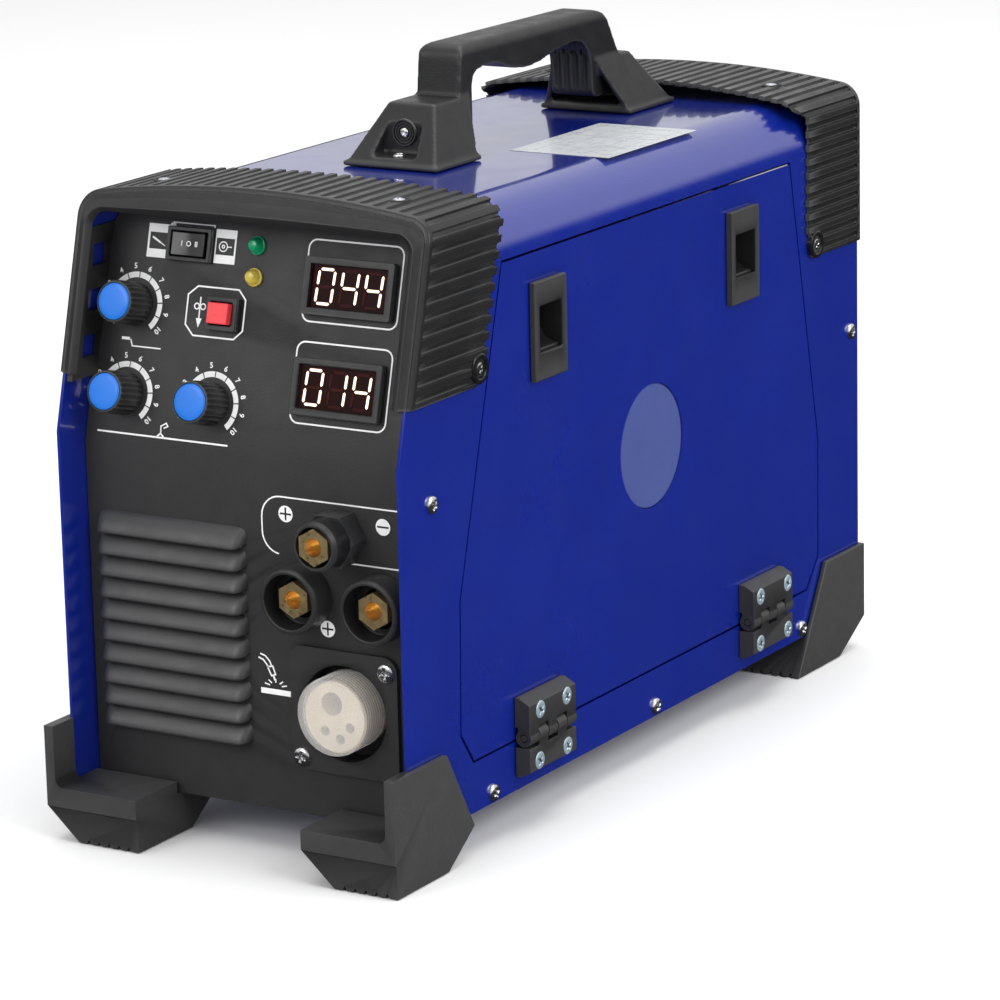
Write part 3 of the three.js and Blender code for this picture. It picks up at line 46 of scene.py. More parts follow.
# ---------------------------------------------------------------- frames, all lengths below are millimetres
MM = 0.001
LEAN = math.radians(14.8)
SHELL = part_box("case_shell")
MID = (SHELL[0].x + SHELL[1].x) / 2
SIDE = (SHELL[1].x - MID) / MM
TOP_Z = SHELL[1].z / MM
EDGE_Y = SHELL[0].y / MM
PANEL_INSET = 19
PANEL_Y = EDGE_Y + PANEL_INSET
CREASE_Z = 182         # the panel starts to lean back here
EDGE_CREASE_Z = 190    # and the sheet's front edge here
REAR_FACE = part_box("rear_panel")[1].y / MM


def frame_of(origin, u, v, w):
    """A matrix from millimetres along three axes to metres, measured from the machine's middle."""
    m = Matrix.Identity(4)
    for i, axis in enumerate((u, v, w)):
        for j in range(3):
            m[j][i] = axis[j]
    for j in range(3):
        m[j][3] = origin[j] * MM
    m[0][3] += MID
    return m @ Matrix.Diagonal((MM, MM, MM, 1))


WORLD = frame_of((0, 0, 0), (1, 0, 0), (0, 1, 0), (0, 0, 1))
FRONT = frame_of((0, PANEL_Y, 0), (1, 0, 0), (0, 0, 1), (0, -1, 0))
FACIA = frame_of((0, PANEL_Y, CREASE_Z), (1, 0, 0), (0, math.sin(LEAN), math.cos(LEAN)),
                 (0, -math.cos(LEAN), math.sin(LEAN)))
RIGHT = frame_of((SIDE, 0, 0), (0, 1, 0), (0, 0, 1), (1, 0, 0))
LEFT = frame_of((-SIDE, 0, 0), (0, -1, 0), (0, 0, 1), (-1, 0, 0))
TOP = frame_of((0, 0, TOP_Z), (1, 0, 0), (0, 1, 0), (0, 0, 1))
REAR = frame_of((0, REAR_FACE, 0), (-1, 0, 0), (0, 0, 1), (0, 1, 0))


def shifted(base, u, v, w=0, turn=0.0):
    return base @ Matrix.Translation((u, v, w)) @ Matrix.Rotation(turn, 4, "Z")


def edge_y(z):
    """Front edge of the side sheet at a height."""
    return EDGE_Y + max(0.0, z - EDGE_CREASE_Z) * math.tan(LEAN)


# ---------------------------------------------------------------- materials
COAT_ROUGHNESS = 0.06
BUMP_DEPTH = 0.0004
NOISE_LOW, NOISE_HIGH = 0.3, 0.7
# Pointiness range where convex edges turn lighter: edge wear plus a painted highlight along the edges.
WEAR_HIGHLIGHT_FROM, WEAR_HIGHLIGHT_TO = 0.505, 0.56


def material(name, base, rough=0.5, metal=0.0, grain=None, mottle=0.1, blotch=40.0, spec=0.5, coat=0.0,
             glow=None, see=0.0, wear_and_edge_highlight=0.0, stretch=None, rough_vary=0.08, ior=1.5, alpha=1.0):
    m = bpy.data.materials.new(name)
    m.use_nodes = True
    nodes, link = m.node_tree.nodes, m.node_tree.links.new
    nodes.clear()
    out = nodes.new("ShaderNodeOutputMaterial")
    skin = nodes.new("ShaderNodeBsdfPrincipled")
    link(skin.outputs[0], out.inputs[0])
    skin.inputs["Metallic"].default_value = metal
    skin.inputs["IOR"].default_value = ior
    skin.inputs["Specular IOR Level"].default_value = spec
    skin.inputs["Coat Weight"].default_value = coat
    skin.inputs["Coat Roughness"].default_value = COAT_ROUGHNESS
    skin.inputs["Transmission Weight"].default_value = see
    skin.inputs["Alpha"].default_value = alpha
    place = nodes.new("ShaderNodeTexCoord").outputs["Object"]
    if stretch:
        mapping = nodes.new("ShaderNodeMapping")
        mapping.inputs["Scale"].default_value = stretch
        link(place, mapping.inputs["Vector"])
        place = mapping.outputs["Vector"]

    def noise(scale, detail):
        n = nodes.new("ShaderNodeTexNoise")
        n.inputs["Scale"].default_value = scale
        n.inputs["Detail"].default_value = detail
        link(place, n.inputs["Vector"])
        return n.outputs["Fac"]

    def spread(value, low, high):
        r = nodes.new("ShaderNodeMapRange")
        r.inputs["From Min"].default_value = NOISE_LOW
        r.inputs["From Max"].default_value = NOISE_HIGH
        r.inputs["To Min"].default_value = low
        r.inputs["To Max"].default_value = high
        link(value, r.inputs["Value"])
        return r.outputs["Result"]

    tone = nodes.new("ShaderNodeHueSaturation")
    tone.inputs["Color"].default_value = (*base, 1)
    link(spread(noise(blotch, 5), 1 - mottle, 1 + mottle), tone.inputs["Value"])
    colour = tone.outputs["Color"]
    # Convex edges are mixed towards a lighter colour by pointiness: partly rubbed wear, partly a painted
    # highlight on the edges.
    if wear_and_edge_highlight:
        edge = nodes.new("ShaderNodeValToRGB")
        edge.color_ramp.elements[0].position = WEAR_HIGHLIGHT_FROM
        edge.color_ramp.elements[1].position = WEAR_HIGHLIGHT_TO
        link(nodes.new("ShaderNodeNewGeometry").outputs["Pointiness"], edge.inputs["Fac"])
        amount = nodes.new("ShaderNodeMath")
        amount.operation = "MULTIPLY"
        amount.inputs[1].default_value = wear_and_edge_highlight
        link(edge.outputs["Color"], amount.inputs[0])
        mix = nodes.new("ShaderNodeMix")
        mix.data_type = "RGBA"
        mix.inputs["B"].default_value = (*[min(1.0, c * 1.6 + 0.08) for c in base], 1)
        link(colour, mix.inputs["A"])
        link(amount.outputs[0], mix.inputs["Factor"])
        colour = mix.outputs["Result"]
    link(colour, skin.inputs["Base Color"])
    link(spread(noise(blotch * 2.7, 4), rough - rough_vary, rough + rough_vary), skin.inputs["Roughness"])
    if grain:
        bump = nodes.new("ShaderNodeBump")
        bump.inputs["Strength"].default_value = grain[1]
        bump.inputs["Distance"].default_value = BUMP_DEPTH
        link(noise(grain[0], 3), bump.inputs["Height"])
        link(bump.outputs["Normal"], skin.inputs["Normal"])
    if glow:
        skin.inputs["Emission Color"].default_value = (*glow[0], 1)
        skin.inputs["Emission Strength"].default_value = glow[1]
    return m


BLUE = material("blue_paint", (0.003, 0.015, 0.23), 0.22, mottle=0.05, blotch=18, spec=0.6,
                coat=1.0, rough_vary=0.04, ior=1.6)
BLACK = material("black_plastic", (0.013, 0.013, 0.014), 0.4, grain=(1500, 0.3), mottle=0.12, wear_and_edge_highlight=0.35,
                 spec=0.4)
PANEL = material("panel_plastic", (0.012, 0.012, 0.013), 0.44, grain=(1800, 0.3), mottle=0.08, wear_and_edge_highlight=0.2,
                 spec=0.38)
HOOD = material("hood_plastic", (0.015, 0.015, 0.016), 0.34, grain=(1400, 0.2), mottle=0.1, wear_and_edge_highlight=0.5,
                spec=0.42)
RUBBER = material("foot_rubber", (0.008, 0.008, 0.009), 0.46, grain=(1100, 0.4), mottle=0.15, wear_and_edge_highlight=0.5,
                  spec=0.4)
GLOSS = material("switch_gloss", (0.008, 0.008, 0.009), 0.18, grain=(1200, 0.06), mottle=0.1, wear_and_edge_highlight=0.2)
CAP_BLUE = material("knob_blue", (0.006, 0.15, 0.62), 0.34, grain=(1700, 0.12), mottle=0.05)
RED = material("button_red", (0.78, 0.05, 0.06), 0.3, grain=(1500, 0.12), mottle=0.06)
RED_DARK = material("rocker_red", (0.42, 0.012, 0.012), 0.25, grain=(1500, 0.08), mottle=0.06)
GREEN_LENS = material("lens_green", (0.01, 0.4, 0.17), 0.12, see=0.35, mottle=0.1, blotch=300,
                      rough_vary=0.03)
YELLOW_LENS = material("lens_yellow", (0.8, 0.62, 0.1), 0.12, see=0.35, mottle=0.1, blotch=300,
                       rough_vary=0.03)
BRASS = material("brass", (1.0, 0.74, 0.38), 0.34, 0.95, grain=(600, 0.15), mottle=0.12, blotch=160)
COPPER = material("copper_wire", (0.75, 0.33, 0.15), 0.3, 1.0, grain=(900, 0.2), mottle=0.12, blotch=120)
MILKY = material("milky_cap", (0.86, 0.84, 0.81), 0.3, mottle=0.03, blotch=25, rough_vary=0.03, ior=1.35,
                 alpha=0.25)
CREAM = material("connector_cream", (0.62, 0.52, 0.38), 0.45, mottle=0.08, blotch=80, grain=(900, 0.1))
# Same facia plastic as the panel, but with a lighter base colour. The lighter base is a painted sheen for
# the top light the louvres catch. Higher specular adds to the effect.
LOUVRE_WITH_SHEEN = material("louvre_plastic_painted_sheen", (0.03, 0.03, 0.032), 0.42, grain=(1600, 0.25), mottle=0.08, spec=0.7)
NICKEL = material("nickel", (0.75, 0.75, 0.76), 0.22, 1.0, grain=(700, 0.1), mottle=0.1, blotch=260)
ZINC = material("zinc_sheet", (0.5, 0.52, 0.55), 0.4, 1.0, grain=(500, 0.15), mottle=0.16, blotch=55)
PALE_ZINC = material("pale_zinc", (0.6, 0.76, 0.86), 0.36, 0.7, grain=(700, 0.1), mottle=0.08, blotch=260)
STEEL = material("roll_steel", (0.6, 0.6, 0.62), 0.28, 1.0, grain=(800, 0.1), mottle=0.08, stretch=(0.1,
                 1, 1))
ALU = material("aluminium", (0.72, 0.73, 0.75), 0.38, 1.0, grain=(500, 0.2), mottle=0.1, stretch=(1,
               0.06, 1))
WHITE = material("print_white", (0.86, 0.86, 0.86), 0.55, grain=(2500, 0.2), mottle=0.06, blotch=180)
TINT = material("window_tint", (0.08, 0.11, 0.32), 0.16, see=0.25, mottle=0.05, rough_vary=0.04, ior=1.3)
GLASS_DARK = material("display_dark", (0.014, 0.0012, 0.0012), 0.3, mottle=0.15, blotch=120, spec=0.08)
DIGIT = material("display_digit", (0.9, 0.75, 0.6), 0.4, glow=((1.0, 0.74, 0.55), 1.25), mottle=0.04)
DIGIT_OFF = material("display_unlit", (0.035, 0.004, 0.003), 0.4, mottle=0.1, spec=0.1)
BOARD = material("board_green", (0.015, 0.13, 0.05), 0.3, grain=(700, 0.25), mottle=0.2, blotch=90)
FEEDER = material("feeder_black", (0.04, 0.042, 0.046), 0.4, grain=(900, 0.3), mottle=0.1, wear_and_edge_highlight=0.3)
ARM_RED = material("arm_red", (0.5, 0.03, 0.015), 0.34, grain=(1000, 0.15), mottle=0.08, wear_and_edge_highlight=0.2)
LABEL = material("pale_label", (0.5, 0.52, 0.54), 0.3, grain=(400, 0.08), mottle=0.05, blotch=70)
LABEL_INK = material("label_ink", (0.34, 0.36, 0.38), 0.4, grain=(900, 0.1), mottle=0.15, blotch=200)
DARK = material("recess_dark", (0.006, 0.006, 0.007), 0.6, grain=(900, 0.2), mottle=0.1)
FLOOR = material("studio_floor", (0.93, 0.93, 0.93), 0.7, grain=(60, 0.05), mottle=0.01, blotch=2, spec=0.2)


# ---------------------------------------------------------------- mesh helpers
def add(name, points, faces, mat, body, at=WORLD, bevel=0.0, segments=2, angle=40, replaces=(), slot=None):
    mesh = bpy.data.meshes.new(name)
    mesh.from_pydata([at @ Vector(p) for p in points], [], faces)
    mesh.validate()
    mesh.polygons.foreach_set("use_smooth", [True] * len(mesh.polygons))
    mesh.set_sharp_from_angle(angle=math.radians(angle))
    mesh.materials.append(mat)
    piece = bpy.data.objects.new(name, mesh)
    bpy.context.scene.collection.objects.link(piece)
    if bevel:
        soften(piece, bevel, segments, angle - 8)
    if body:
        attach(piece, body)
    if replaces:
        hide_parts(*replaces)
    return piece


def soften(piece, width, segments=2, angle=32):
    b = piece.modifiers.new("edges", "BEVEL")
    b.width = width * MM
    b.segments = segments
    b.limit_method = "ANGLE"
    b.angle_limit = math.radians(angle)
    b.harden_normals = True
    b.miter_outer = "MITER_ARC"
    w = piece.modifiers.new("normals", "WEIGHTED_NORMAL")
    w.keep_sharp = True


def strip(rows, closed_rows=False, closed_cols=False):
    """Points and quads of a grid given as rows of points."""
    n, m = len(rows), len(rows[0])
    points = [p for row in rows for p in row]
    faces = []
    for i in range(n if closed_rows else n - 1):
        for j in range(m if closed_cols else m - 1):
            a, b = i * m + j, i * m + (j + 1) % m
            c, d = ((i + 1) % n) * m + (j + 1) % m, ((i + 1) % n) * m + j
            faces.append((a, b, c, d))
    return points, faces


def turned(profile, sides=64, shape=None):
    """Rings of a profile of (radius, height) about w; a radius of 0 closes the end."""
    rows = []
    for k, (r, h) in enumerate(profile):
        ring = []
        for i in range(sides):
            a = 2 * math.pi * i / sides
            q = r + (shape(a, k) if shape and r else 0)
            ring.append((q * math.cos(a), q * math.sin(a), h))
        rows.append(ring)
    return strip(rows, closed_cols=True)


def slab(outline, low, high):
    """A flat outline of (u, v) raised from low to high."""
    n = len(outline)
    points = [(u, v, low) for u, v in outline] + [(u, v, high) for u, v in outline]
    faces = [tuple(reversed(range(n))), tuple(range(n, 2 * n))]
    faces += [(i, (i + 1) % n, n + (i + 1) % n, n + i) for i in range(n)]
    return points, faces


def rounded(w, h, r, steps=6):
    """Outline of a rectangle with rounded corners."""
    pts = []
    for cx, cy, start in ((w / 2 - r, h / 2 - r, 0), (-w / 2 + r, h / 2 - r, 90),
                          (-w / 2 + r, -h / 2 + r, 180), (w / 2 - r, -h / 2 + r, 270)):
        for i in range(steps + 1):
            a = math.radians(start + 90 * i / steps)
            pts.append((cx + r * math.cos(a), cy + r * math.sin(a)))
    return pts


def merge(parts):
    """Several (points, faces) pairs as one."""
    points, faces = [], []
    for p, f in parts:
        base = len(points)
        points += p
        faces += [tuple(base + i for i in face) for face in f]
    return points, faces


def moved(part, u=0, v=0, w=0, turn=0.0):
    c, s = math.cos(turn), math.sin(turn)
    return [(u + c * a - s * b, v + s * a + c * b, w + d) for a, b, d in part[0]], part[1]


def line(points, width=0.8, closed=False, height=0.07):
    """A printed stroke: a thin raised ribbon along a polyline."""
    pts = [Vector(p) for p in points]
    n = len(pts)
    left, right = [], []
    for i in range(n):
        before = pts[i] - pts[i - 1] if (i or closed) else pts[1] - pts[0]
        after = pts[(i + 1) % n] - pts[i] if (i < n - 1 or closed) else before
        a, b = before.normalized(), after.normalized()
        t = (a + b).normalized() if (a + b).length > 1e-6 else b
        side = Vector((-t.y, t.x))
        reach = width / 2 / max(0.4, side.dot(Vector((-b.y, b.x))))
        left.append(pts[i] + side * reach)
        right.append(pts[i] - side * reach)
    rows = [[(p.x, p.y, 0.01), (p.x, p.y, height), (q.x, q.y, height), (q.x, q.y, 0.01)]
            for p, q in zip(left, right)]
    return strip(rows, closed_rows=closed)


def arc(cu, cv, r, a0, a1, steps=16):
    return [(cu + r * math.cos(math.radians(a0 + (a1 - a0) * i / steps)),
             cv + r * math.sin(math.radians(a0 + (a1 - a0) * i / steps))) for i in range(steps + 1)]


def lettering(name, text, size, mat, body, at):
    curve = bpy.data.curves.new(name, "FONT")
    curve.body = text
    curve.size = size
    curve.align_x = "CENTER"
    curve.align_y = "CENTER"
    curve.extrude = 0.03
    curve.offset = 0.02 * size
    curve.resolution_u = 3
    temp = bpy.data.objects.new(name + "_curve", curve)
    bpy.context.scene.collection.objects.link(temp)
    bpy.context.view_layer.update()
    shape = temp.evaluated_get(bpy.context.evaluated_depsgraph_get()).to_mesh()
    points = [tuple(v.co) for v in shape.vertices]
    faces = [tuple(p.vertices) for p in shape.polygons]
    bpy.data.objects.remove(temp)
    return add(name, [(u, v, w + 0.05) for u, v, w in points], faces, mat, body, at)


def screw_head(radius=3.3, height=1.9):
    """A pan head with a cross recess."""
    rows = []
    rings, sides = 16, 72
    arm, reach, deep = radius * 0.13, radius * 0.56, radius * 0.34
    for k in range(rings + 1):
        r = radius * math.sin(math.pi / 2 * k / rings)
        ring = []
        for i in range(sides):
            a = 2 * math.pi * i / sides
            x, y = r * math.cos(a), r * math.sin(a)
            h = height * math.cos(math.pi / 2 * k / rings) ** 0.55 if k < rings else 0
            along, across = max(abs(x), abs(y)), min(abs(x), abs(y))
            inside = max(0, min(1, (arm - across) / (arm * 0.5) + 0.5))
            inside *= max(0, min(1, (reach - along) / 0.25))
            ring.append((x, y, h - deep * inside * (1 - 0.5 * along / reach)))
        rows.append(ring)
    rows.reverse()
    return strip([[(p[0], p[1], -0.2) for p in rows[0]]] + rows, closed_cols=True)


def screws(name, places, body, at, radius=3.3, height=1.9, mat=NICKEL):
    head = screw_head(radius, height)
    parts = [moved(head, u, v, w, random.uniform(0, math.pi)) for u, v, w in places]
    return add(name, *merge(parts), mat, body, at, angle=50)


# ---------------------------------------------------------------- carried-over nodes
WELD_DISTANCE = 0.00001


def finish_node(name, mat, bevel=0.0, segments=2, angle=32):
    """Material and edges of a carried-over node. None splits the edges instead of rounding them."""
    node = NODES[name]
    node.data.materials.clear()
    node.data.materials.append(mat)
    node.data.polygons.foreach_set("use_smooth", [True] * len(node.data.polygons))
    for key in ("custom_normal", "sharp_edge", "sharp_face"):
        if key in node.data.attributes:
            node.data.attributes.remove(node.data.attributes[key])
    weld = node.modifiers.new("weld", "WELD")
    weld.merge_threshold = WELD_DISTANCE
    if bevel is None:
        split = node.modifiers.new("split", "EDGE_SPLIT")
        split.split_angle = math.radians(angle)
        split.use_edge_sharp = False
        node.modifiers.new("even", "WEIGHTED_NORMAL").keep_sharp = True
    elif bevel:
        flat = node.modifiers.new("flat", "DECIMATE")
        flat.decimate_type = "DISSOLVE"
        flat.angle_limit = math.radians(1)
        soften(node, bevel, segments, angle)
    return node


for name, mat, width in (
    ("case_shell", BLUE, None), ("base_tray", BLUE, None), ("door", BLUE, None),
    ("front_panel", PANEL, None),
    ("mode_switch_frame", GLOSS, 0.35), ("mode_rocker", GLOSS, 0.3), ("inch_button_housing", GLOSS, 0.3),
    ("inch_button", RED, 0.5), ("meter_current", BLACK, 0.5), ("meter_voltage", BLACK, 0.5),
    ("led_power", GREEN_LENS, 0.15), ("led_overload", YELLOW_LENS, 0.15),
    ("socket_electrode", BLACK, 0.4), ("socket_positive", BLACK, 0.4), ("socket_negative", BLACK, 0.4),
    ("contact_electrode", BRASS, None), ("contact_positive", BRASS, None),
    ("contact_negative", BRASS, None),
    ("torch_plate", PANEL, None), ("torch_connector", CREAM, None), ("door_window", TINT, 0.2),
    ("latch_housing_front", BLACK, 0.6), ("latch_housing_rear", BLACK, 0.6),
    ("latch_slide_front", GLOSS, 0.4), ("latch_slide_rear", GLOSS, 0.4),
    ("hinge_base_front", BLACK, 0.4), ("hinge_base_rear", BLACK, 0.4),
    ("hinge_leaf_front", BLACK, 0.4), ("hinge_leaf_rear", BLACK, 0.4),
    ("rear_panel", PANEL, None), ("fan_frame", BLACK, None), ("fan_rotor", GLOSS, 0.2),
    ("mains_switch_frame", BLACK, 0.4), ("mains_rocker", RED_DARK, 0.4), ("mains_gland", BLACK, 0.3),
    ("gas_inlet", BRASS, 0.25), ("divider", ZINC, None), ("heatsink", ALU, None),
    ("circuit_board", BOARD, None),
    ("feeder_body", FEEDER, 0.4), ("drive_roll", STEEL, 0.25), ("pressure_roll", STEEL, 0.25),
    ("pressure_arm", ARM_RED, 0.5), ("tension_knob", BLACK, 0.4), ("wire_spool", BLACK, 0.3),
    ("spool_hub", BLACK, 0.3),
    ("foot_front_left", RUBBER, 0.7), ("foot_front_right", RUBBER, 0.7), ("foot_rear_left", RUBBER, 0.7),
    ("foot_rear_right", RUBBER, 0.7),
):
    finish_node(name, mat, width)

grip = finish_node("handle", BLACK)
remesh = grip.modifiers.new("remesh", "REMESH")
remesh.mode = "VOXEL"
remesh.voxel_size = 0.9 * MM
remesh.use_smooth_shade = True
ease = grip.modifiers.new("ease", "SMOOTH")
ease.factor = 0.5
ease.iterations = 7


# ---------------------------------------------------------------- hoods
HOOD_SIDE, HOOD_BOTTOM, SHOULDER, CROWN, CORNER = 94.4, 216.0, 297.3, 303.0, 12.0
RIB_PITCH, RIB_DEPTH = 7.0, 1.6
HALF_SLOT = 0.27    # half a slot as a share of the pitch
HOOD_WALL = 2.1


def outer_half():
    pts = [(HOOD_SIDE, HOOD_BOTTOM + (SHOULDER - CORNER - HOOD_BOTTOM) * i / 200) for i in range(200)]
    for i in range(60):
        a = math.radians(83 * i / 60)
        pts.append((HOOD_SIDE - CORNER + CORNER * math.cos(a), SHOULDER - CORNER + CORNER * math.sin(a)))
    x0, z0 = pts[-1]
    for i in range(1, 241):
        x = x0 * (1 - i / 240)
        pts.append((x, z0 + (CROWN - z0) * (1 - (x / x0) ** 2)))
    return pts


# Places across one rib (0 and 1 are ridge middles) and how deep the slot is there.
RIB_STEPS = ((0.0, 0.0), (0.16, 0.0), (0.225, 0.0), (0.245, 0.14), (0.275, 0.86), (0.32, 1.0),
             (0.41, 1.0), (0.5, 1.0), (0.59, 1.0), (0.68, 1.0), (0.725, 0.86), (0.755, 0.14), (0.775, 0.0),
             (0.84, 0.0))


def arch_columns():
    """Columns across the hood: place, inward normal, slot depth and distance to the slot's middle."""
    half = outer_half()
    whole = half + [(-x, z) for x, z in reversed(half[:-1])]
    run = [0.0]
    for (x0, z0), (x1, z1) in zip(whole, whole[1:]):
        run.append(run[-1] + math.hypot(x1 - x0, z1 - z0))
    total = run[-1]
    ribs = round(total / RIB_PITCH)
    places = [(n + q, groove, abs(q - 0.5)) for n in range(ribs) for q, groove in RIB_STEPS]
    places.append((ribs, 0.0, 0.5))
    columns, k = [], 0
    for place, groove, away in places:
        s = total * place / ribs
        while k < len(run) - 2 and run[k + 1] < s:
            k += 1
        t = (s - run[k]) / max(1e-9, run[k + 1] - run[k])
        (x0, z0), (x1, z1) = whole[k], whole[k + 1]
        x, z = x0 + t * (x1 - x0), z0 + t * (z1 - z0)
        lo, hi = max(0, k - 4), min(len(whole) - 1, k + 5)
        tx, tz = whole[hi][0] - whole[lo][0], whole[hi][1] - whole[lo][1]
        size = math.hypot(tx, tz)
        columns.append((x, z, (-tz / size, tx / size), groove, away))
    return columns


RIM_X, RIM_Z, RIM_CORNER = 84.6, 288.0, 7.0


def rim_inner(x, z):
    """The inner edge of the front rim beside a place on the outer line."""
    low, arc_low, arc_x = 278.0, 285.3, 82.4
    if z < low:
        return math.copysign(RIM_X, x), z
    if abs(x) <= arc_x:
        return x * (RIM_X - RIM_CORNER) / arc_x, RIM_Z
    if z < arc_low:
        return math.copysign(RIM_X, x), low + (z - low) * (RIM_Z - RIM_CORNER - low) / (arc_low - low)
    a = math.acos(min(1.0, max(0.0, (abs(x) - arc_x) / (HOOD_SIDE - arc_x))))
    return (math.copysign(RIM_X - RIM_CORNER + RIM_CORNER * math.cos(a), x),
            RIM_Z - RIM_CORNER + RIM_CORNER * math.sin(a))


def slot_ys(start, step, away, last):
    """Rows along a slot from its rounded end towards the free edge, with how far each has sunk."""
    end = start + step * 1.8 * (1 - math.sqrt(max(0.0, 1 - (min(away, HALF_SLOT) / HALF_SLOT) ** 2)))
    rows = [(end, 0.0), (end + step * 0.12, 0.2), (end + step * 0.4, 0.82), (end + step * 0.9, 1.0)]
    return rows + [(end + step * 0.9 + (last - end - step * 0.9) * i / 7, 1.0) for i in range(1, 8)]


def hood(name, sections, body, node):
    """A hood from one closed ring of (y, inset, share of the way to the rim's inner edge) per column."""
    rows = []
    for column in COLUMNS:
        x, z, (nx, nz) = column[:3]
        ring = []
        for y, inset, k in sections(column):
            px, pz = x + nx * inset, z + nz * inset
            if k is not None:
                ix, iz = rim_inner(x, z)
                px, pz = px + k * (ix - px), pz + k * (iz - pz)
            ring.append((px, y, pz))
        rows.append(ring)
    points, faces = strip(rows, closed_cols=True)
    n = len(rows[0])
    faces.append(tuple(range(n)))
    faces.append(tuple(reversed(range(len(points) - n, len(points)))))
    return add(name, points, faces, HOOD, body, angle=55, replaces=(node,), slot="black_plastic")


def table(value, stops):
    """A value read off straight lines between stops."""
    for (a, p), (b, q) in zip(stops, stops[1:]):
        if value <= b:
            return p + (q - p) * max(0.0, (value - a) / (b - a))
    return stops[-1][1]


def pad(x, y, z, places):
    """How much of a groove stays near a screw pad."""
    keep = 1.0
    for px, py, pz, r in places:
        d = math.dist((x, y, z), (px, py, pz))
        keep = min(keep, max(0.0, min(1.0, (d - r) / 1.2)))
    return keep


# Screw places: end, along the machine and (on the sides) height.
BOSSES = (("front", (-148, 223.5)), ("rear", (178.7, 222)))
ROOF_CUPS = (("front", -162), ("rear", 190))
FRONT_PADS = [(s * 63, -162, 301, 5.2) for s in (-1, 1)] + [(s * 94, -148, 223.5, 7.6) for s in (-1, 1)]
REAR_PADS = [(s * 66, 190, 301, 5.2) for s in (-1, 1)] + [(s * 94, 178.7, 222, 7.6) for s in (-1, 1)]


def front_section(column):
    x, z, normal, groove, away = column
    e = edge_y(z)
    side = table(z, [(216, -151), (229, -141), (257, -133.5), (289, -124)])
    across = -125 - 8 * (1 - min(1.0, abs(x) / 88) ** 2)
    rear = side if z < 289 else across
    rear -= 1.6 * math.sqrt(max(0.0, 1 - min(1.0, away / HALF_SLOT) ** 2))
    ring = [(rear, HOOD_WALL, None), (rear, 1.2, None)]
    rows = [(y, RIB_DEPTH * groove * sunk) for y, sunk in slot_ys(e + 3.4, 1, away, rear - 0.3)]
    ring += [(y, d * pad(x, y, z, FRONT_PADS), None) for y, d in reversed(rows)]
    face = 0.65 + 0.1 * min(1.0, max(0.0, (z - 285) / 10))
    for y, inset in ((2.0, 0), (1.5, 0.06), (1.0, 0.35), (0.7, 0.9), (0.5, 1.6)):
        ring.append((e + y, inset, None))
    iz = rim_inner(x, z)[1]
    for y, k in ((-1.5, face - 0.06), (-1.95, face - 0.02), (-1.9, face + 0.04), (-0.2, 0.97), (0.1, 1.0)):
        ring.append((edge_y(z + k * (iz - z)) + y, 0, k))
    ring.append((edge_y(z + normal[1] * HOOD_WALL) - 0.4, HOOD_WALL, None))
    return ring


def rear_section(column):
    x, z, _, groove, away = column
    side = table(z, [(216, 174), (231, 170), (288, 171)])
    across = 160 + 3 * (1 - min(1.0, abs(x) / 88) ** 2)
    front = side if z < 287 else table(z, [(287, 171), (292, 163), (294, across)])
    if z >= 294:
        front = across
    front += 1.6 * math.sqrt(max(0.0, 1 - min(1.0, away / HALF_SLOT) ** 2))
    ring = [(front, HOOD_WALL, None), (front, 1.2, None)]
    rows = [(y, RIB_DEPTH * groove * sunk) for y, sunk in slot_ys(225.0, -1, away, front + 0.3)]
    ring += [(y, d * pad(x, y, z, REAR_PADS), None) for y, d in reversed(rows)]
    for i in range(7):
        a = math.radians(90 * i / 6)
        ring.append((226.4 + 3.1 * math.sin(a), 3.1 * (1 - math.cos(a)), None))
    ring += [(229.5, 8.0, None), (228.95, 8.0, None), (228.95, HOOD_WALL, None)]
    return ring


COLUMNS = arch_columns()
hood("hood_front_shell", front_section, "case", "hood_front")
hood("hood_rear_shell", rear_section, "case", "hood_rear")

for tag, base in (("right", RIGHT), ("left", LEFT)):
    flip = 1 if tag == "right" else -1
    for end, (y, z) in BOSSES:
        cup = [(0, 1.0), (4.3, 1.0), (4.5, 2.6), (5.0, 3.0), (6.5, 3.0), (7.0, 2.6), (7.1, 0.0)]
        add(f"boss_{end}_{tag}", *turned(cup, 48), GLOSS, "case", shifted(base, flip * y, z))
        screws(f"boss_screw_{end}_{tag}", [(flip * y, z, 1.1)], "case", base, 3.5, 1.7)
for end, y in ROOF_CUPS:
    for tag, x in (("left", -63), ("right", 63)):
        z = SHOULDER + 5.7 * (1 - (x / 82) ** 2) - TOP_Z
        cup = [(0, -0.5), (3.5, -0.5), (3.7, 0.2), (4.6, 0.35), (5.3, 0.15), (5.6, -0.5)]
        add(f"top_cup_{end}_{tag}", *turned(cup, 40), DARK, "case", shifted(TOP, x, y, z))
        screws(f"top_screw_{end}_{tag}", [(x, y, z - 0.4)], "case", TOP, 3.0, 1.0, ZINC)


# ---------------------------------------------------------------- louvres
LOUVRES, LOUVRE_TOP, LOUVRE_PITCH, LOUVRE_HEIGHT = 10, 150.3, 10.2, 9.9
LOUVRE_LEFT, LOUVRE_RIGHT = -84.8, -2.8
# How far a louvre stands out at each distance below its upper edge.
LOUVRE_PROFILE = ((-0.2, 0.0), (0.1, 0.5), (1.6, 1.8), (3.4, 3.3), (5.2, 4.5), (7.0, 5.4), (8.7, 5.95),
                  (9.3, 6.0), (9.65, 5.8), (9.85, 5.0), (9.9, 2.0), (9.9, -0.2))


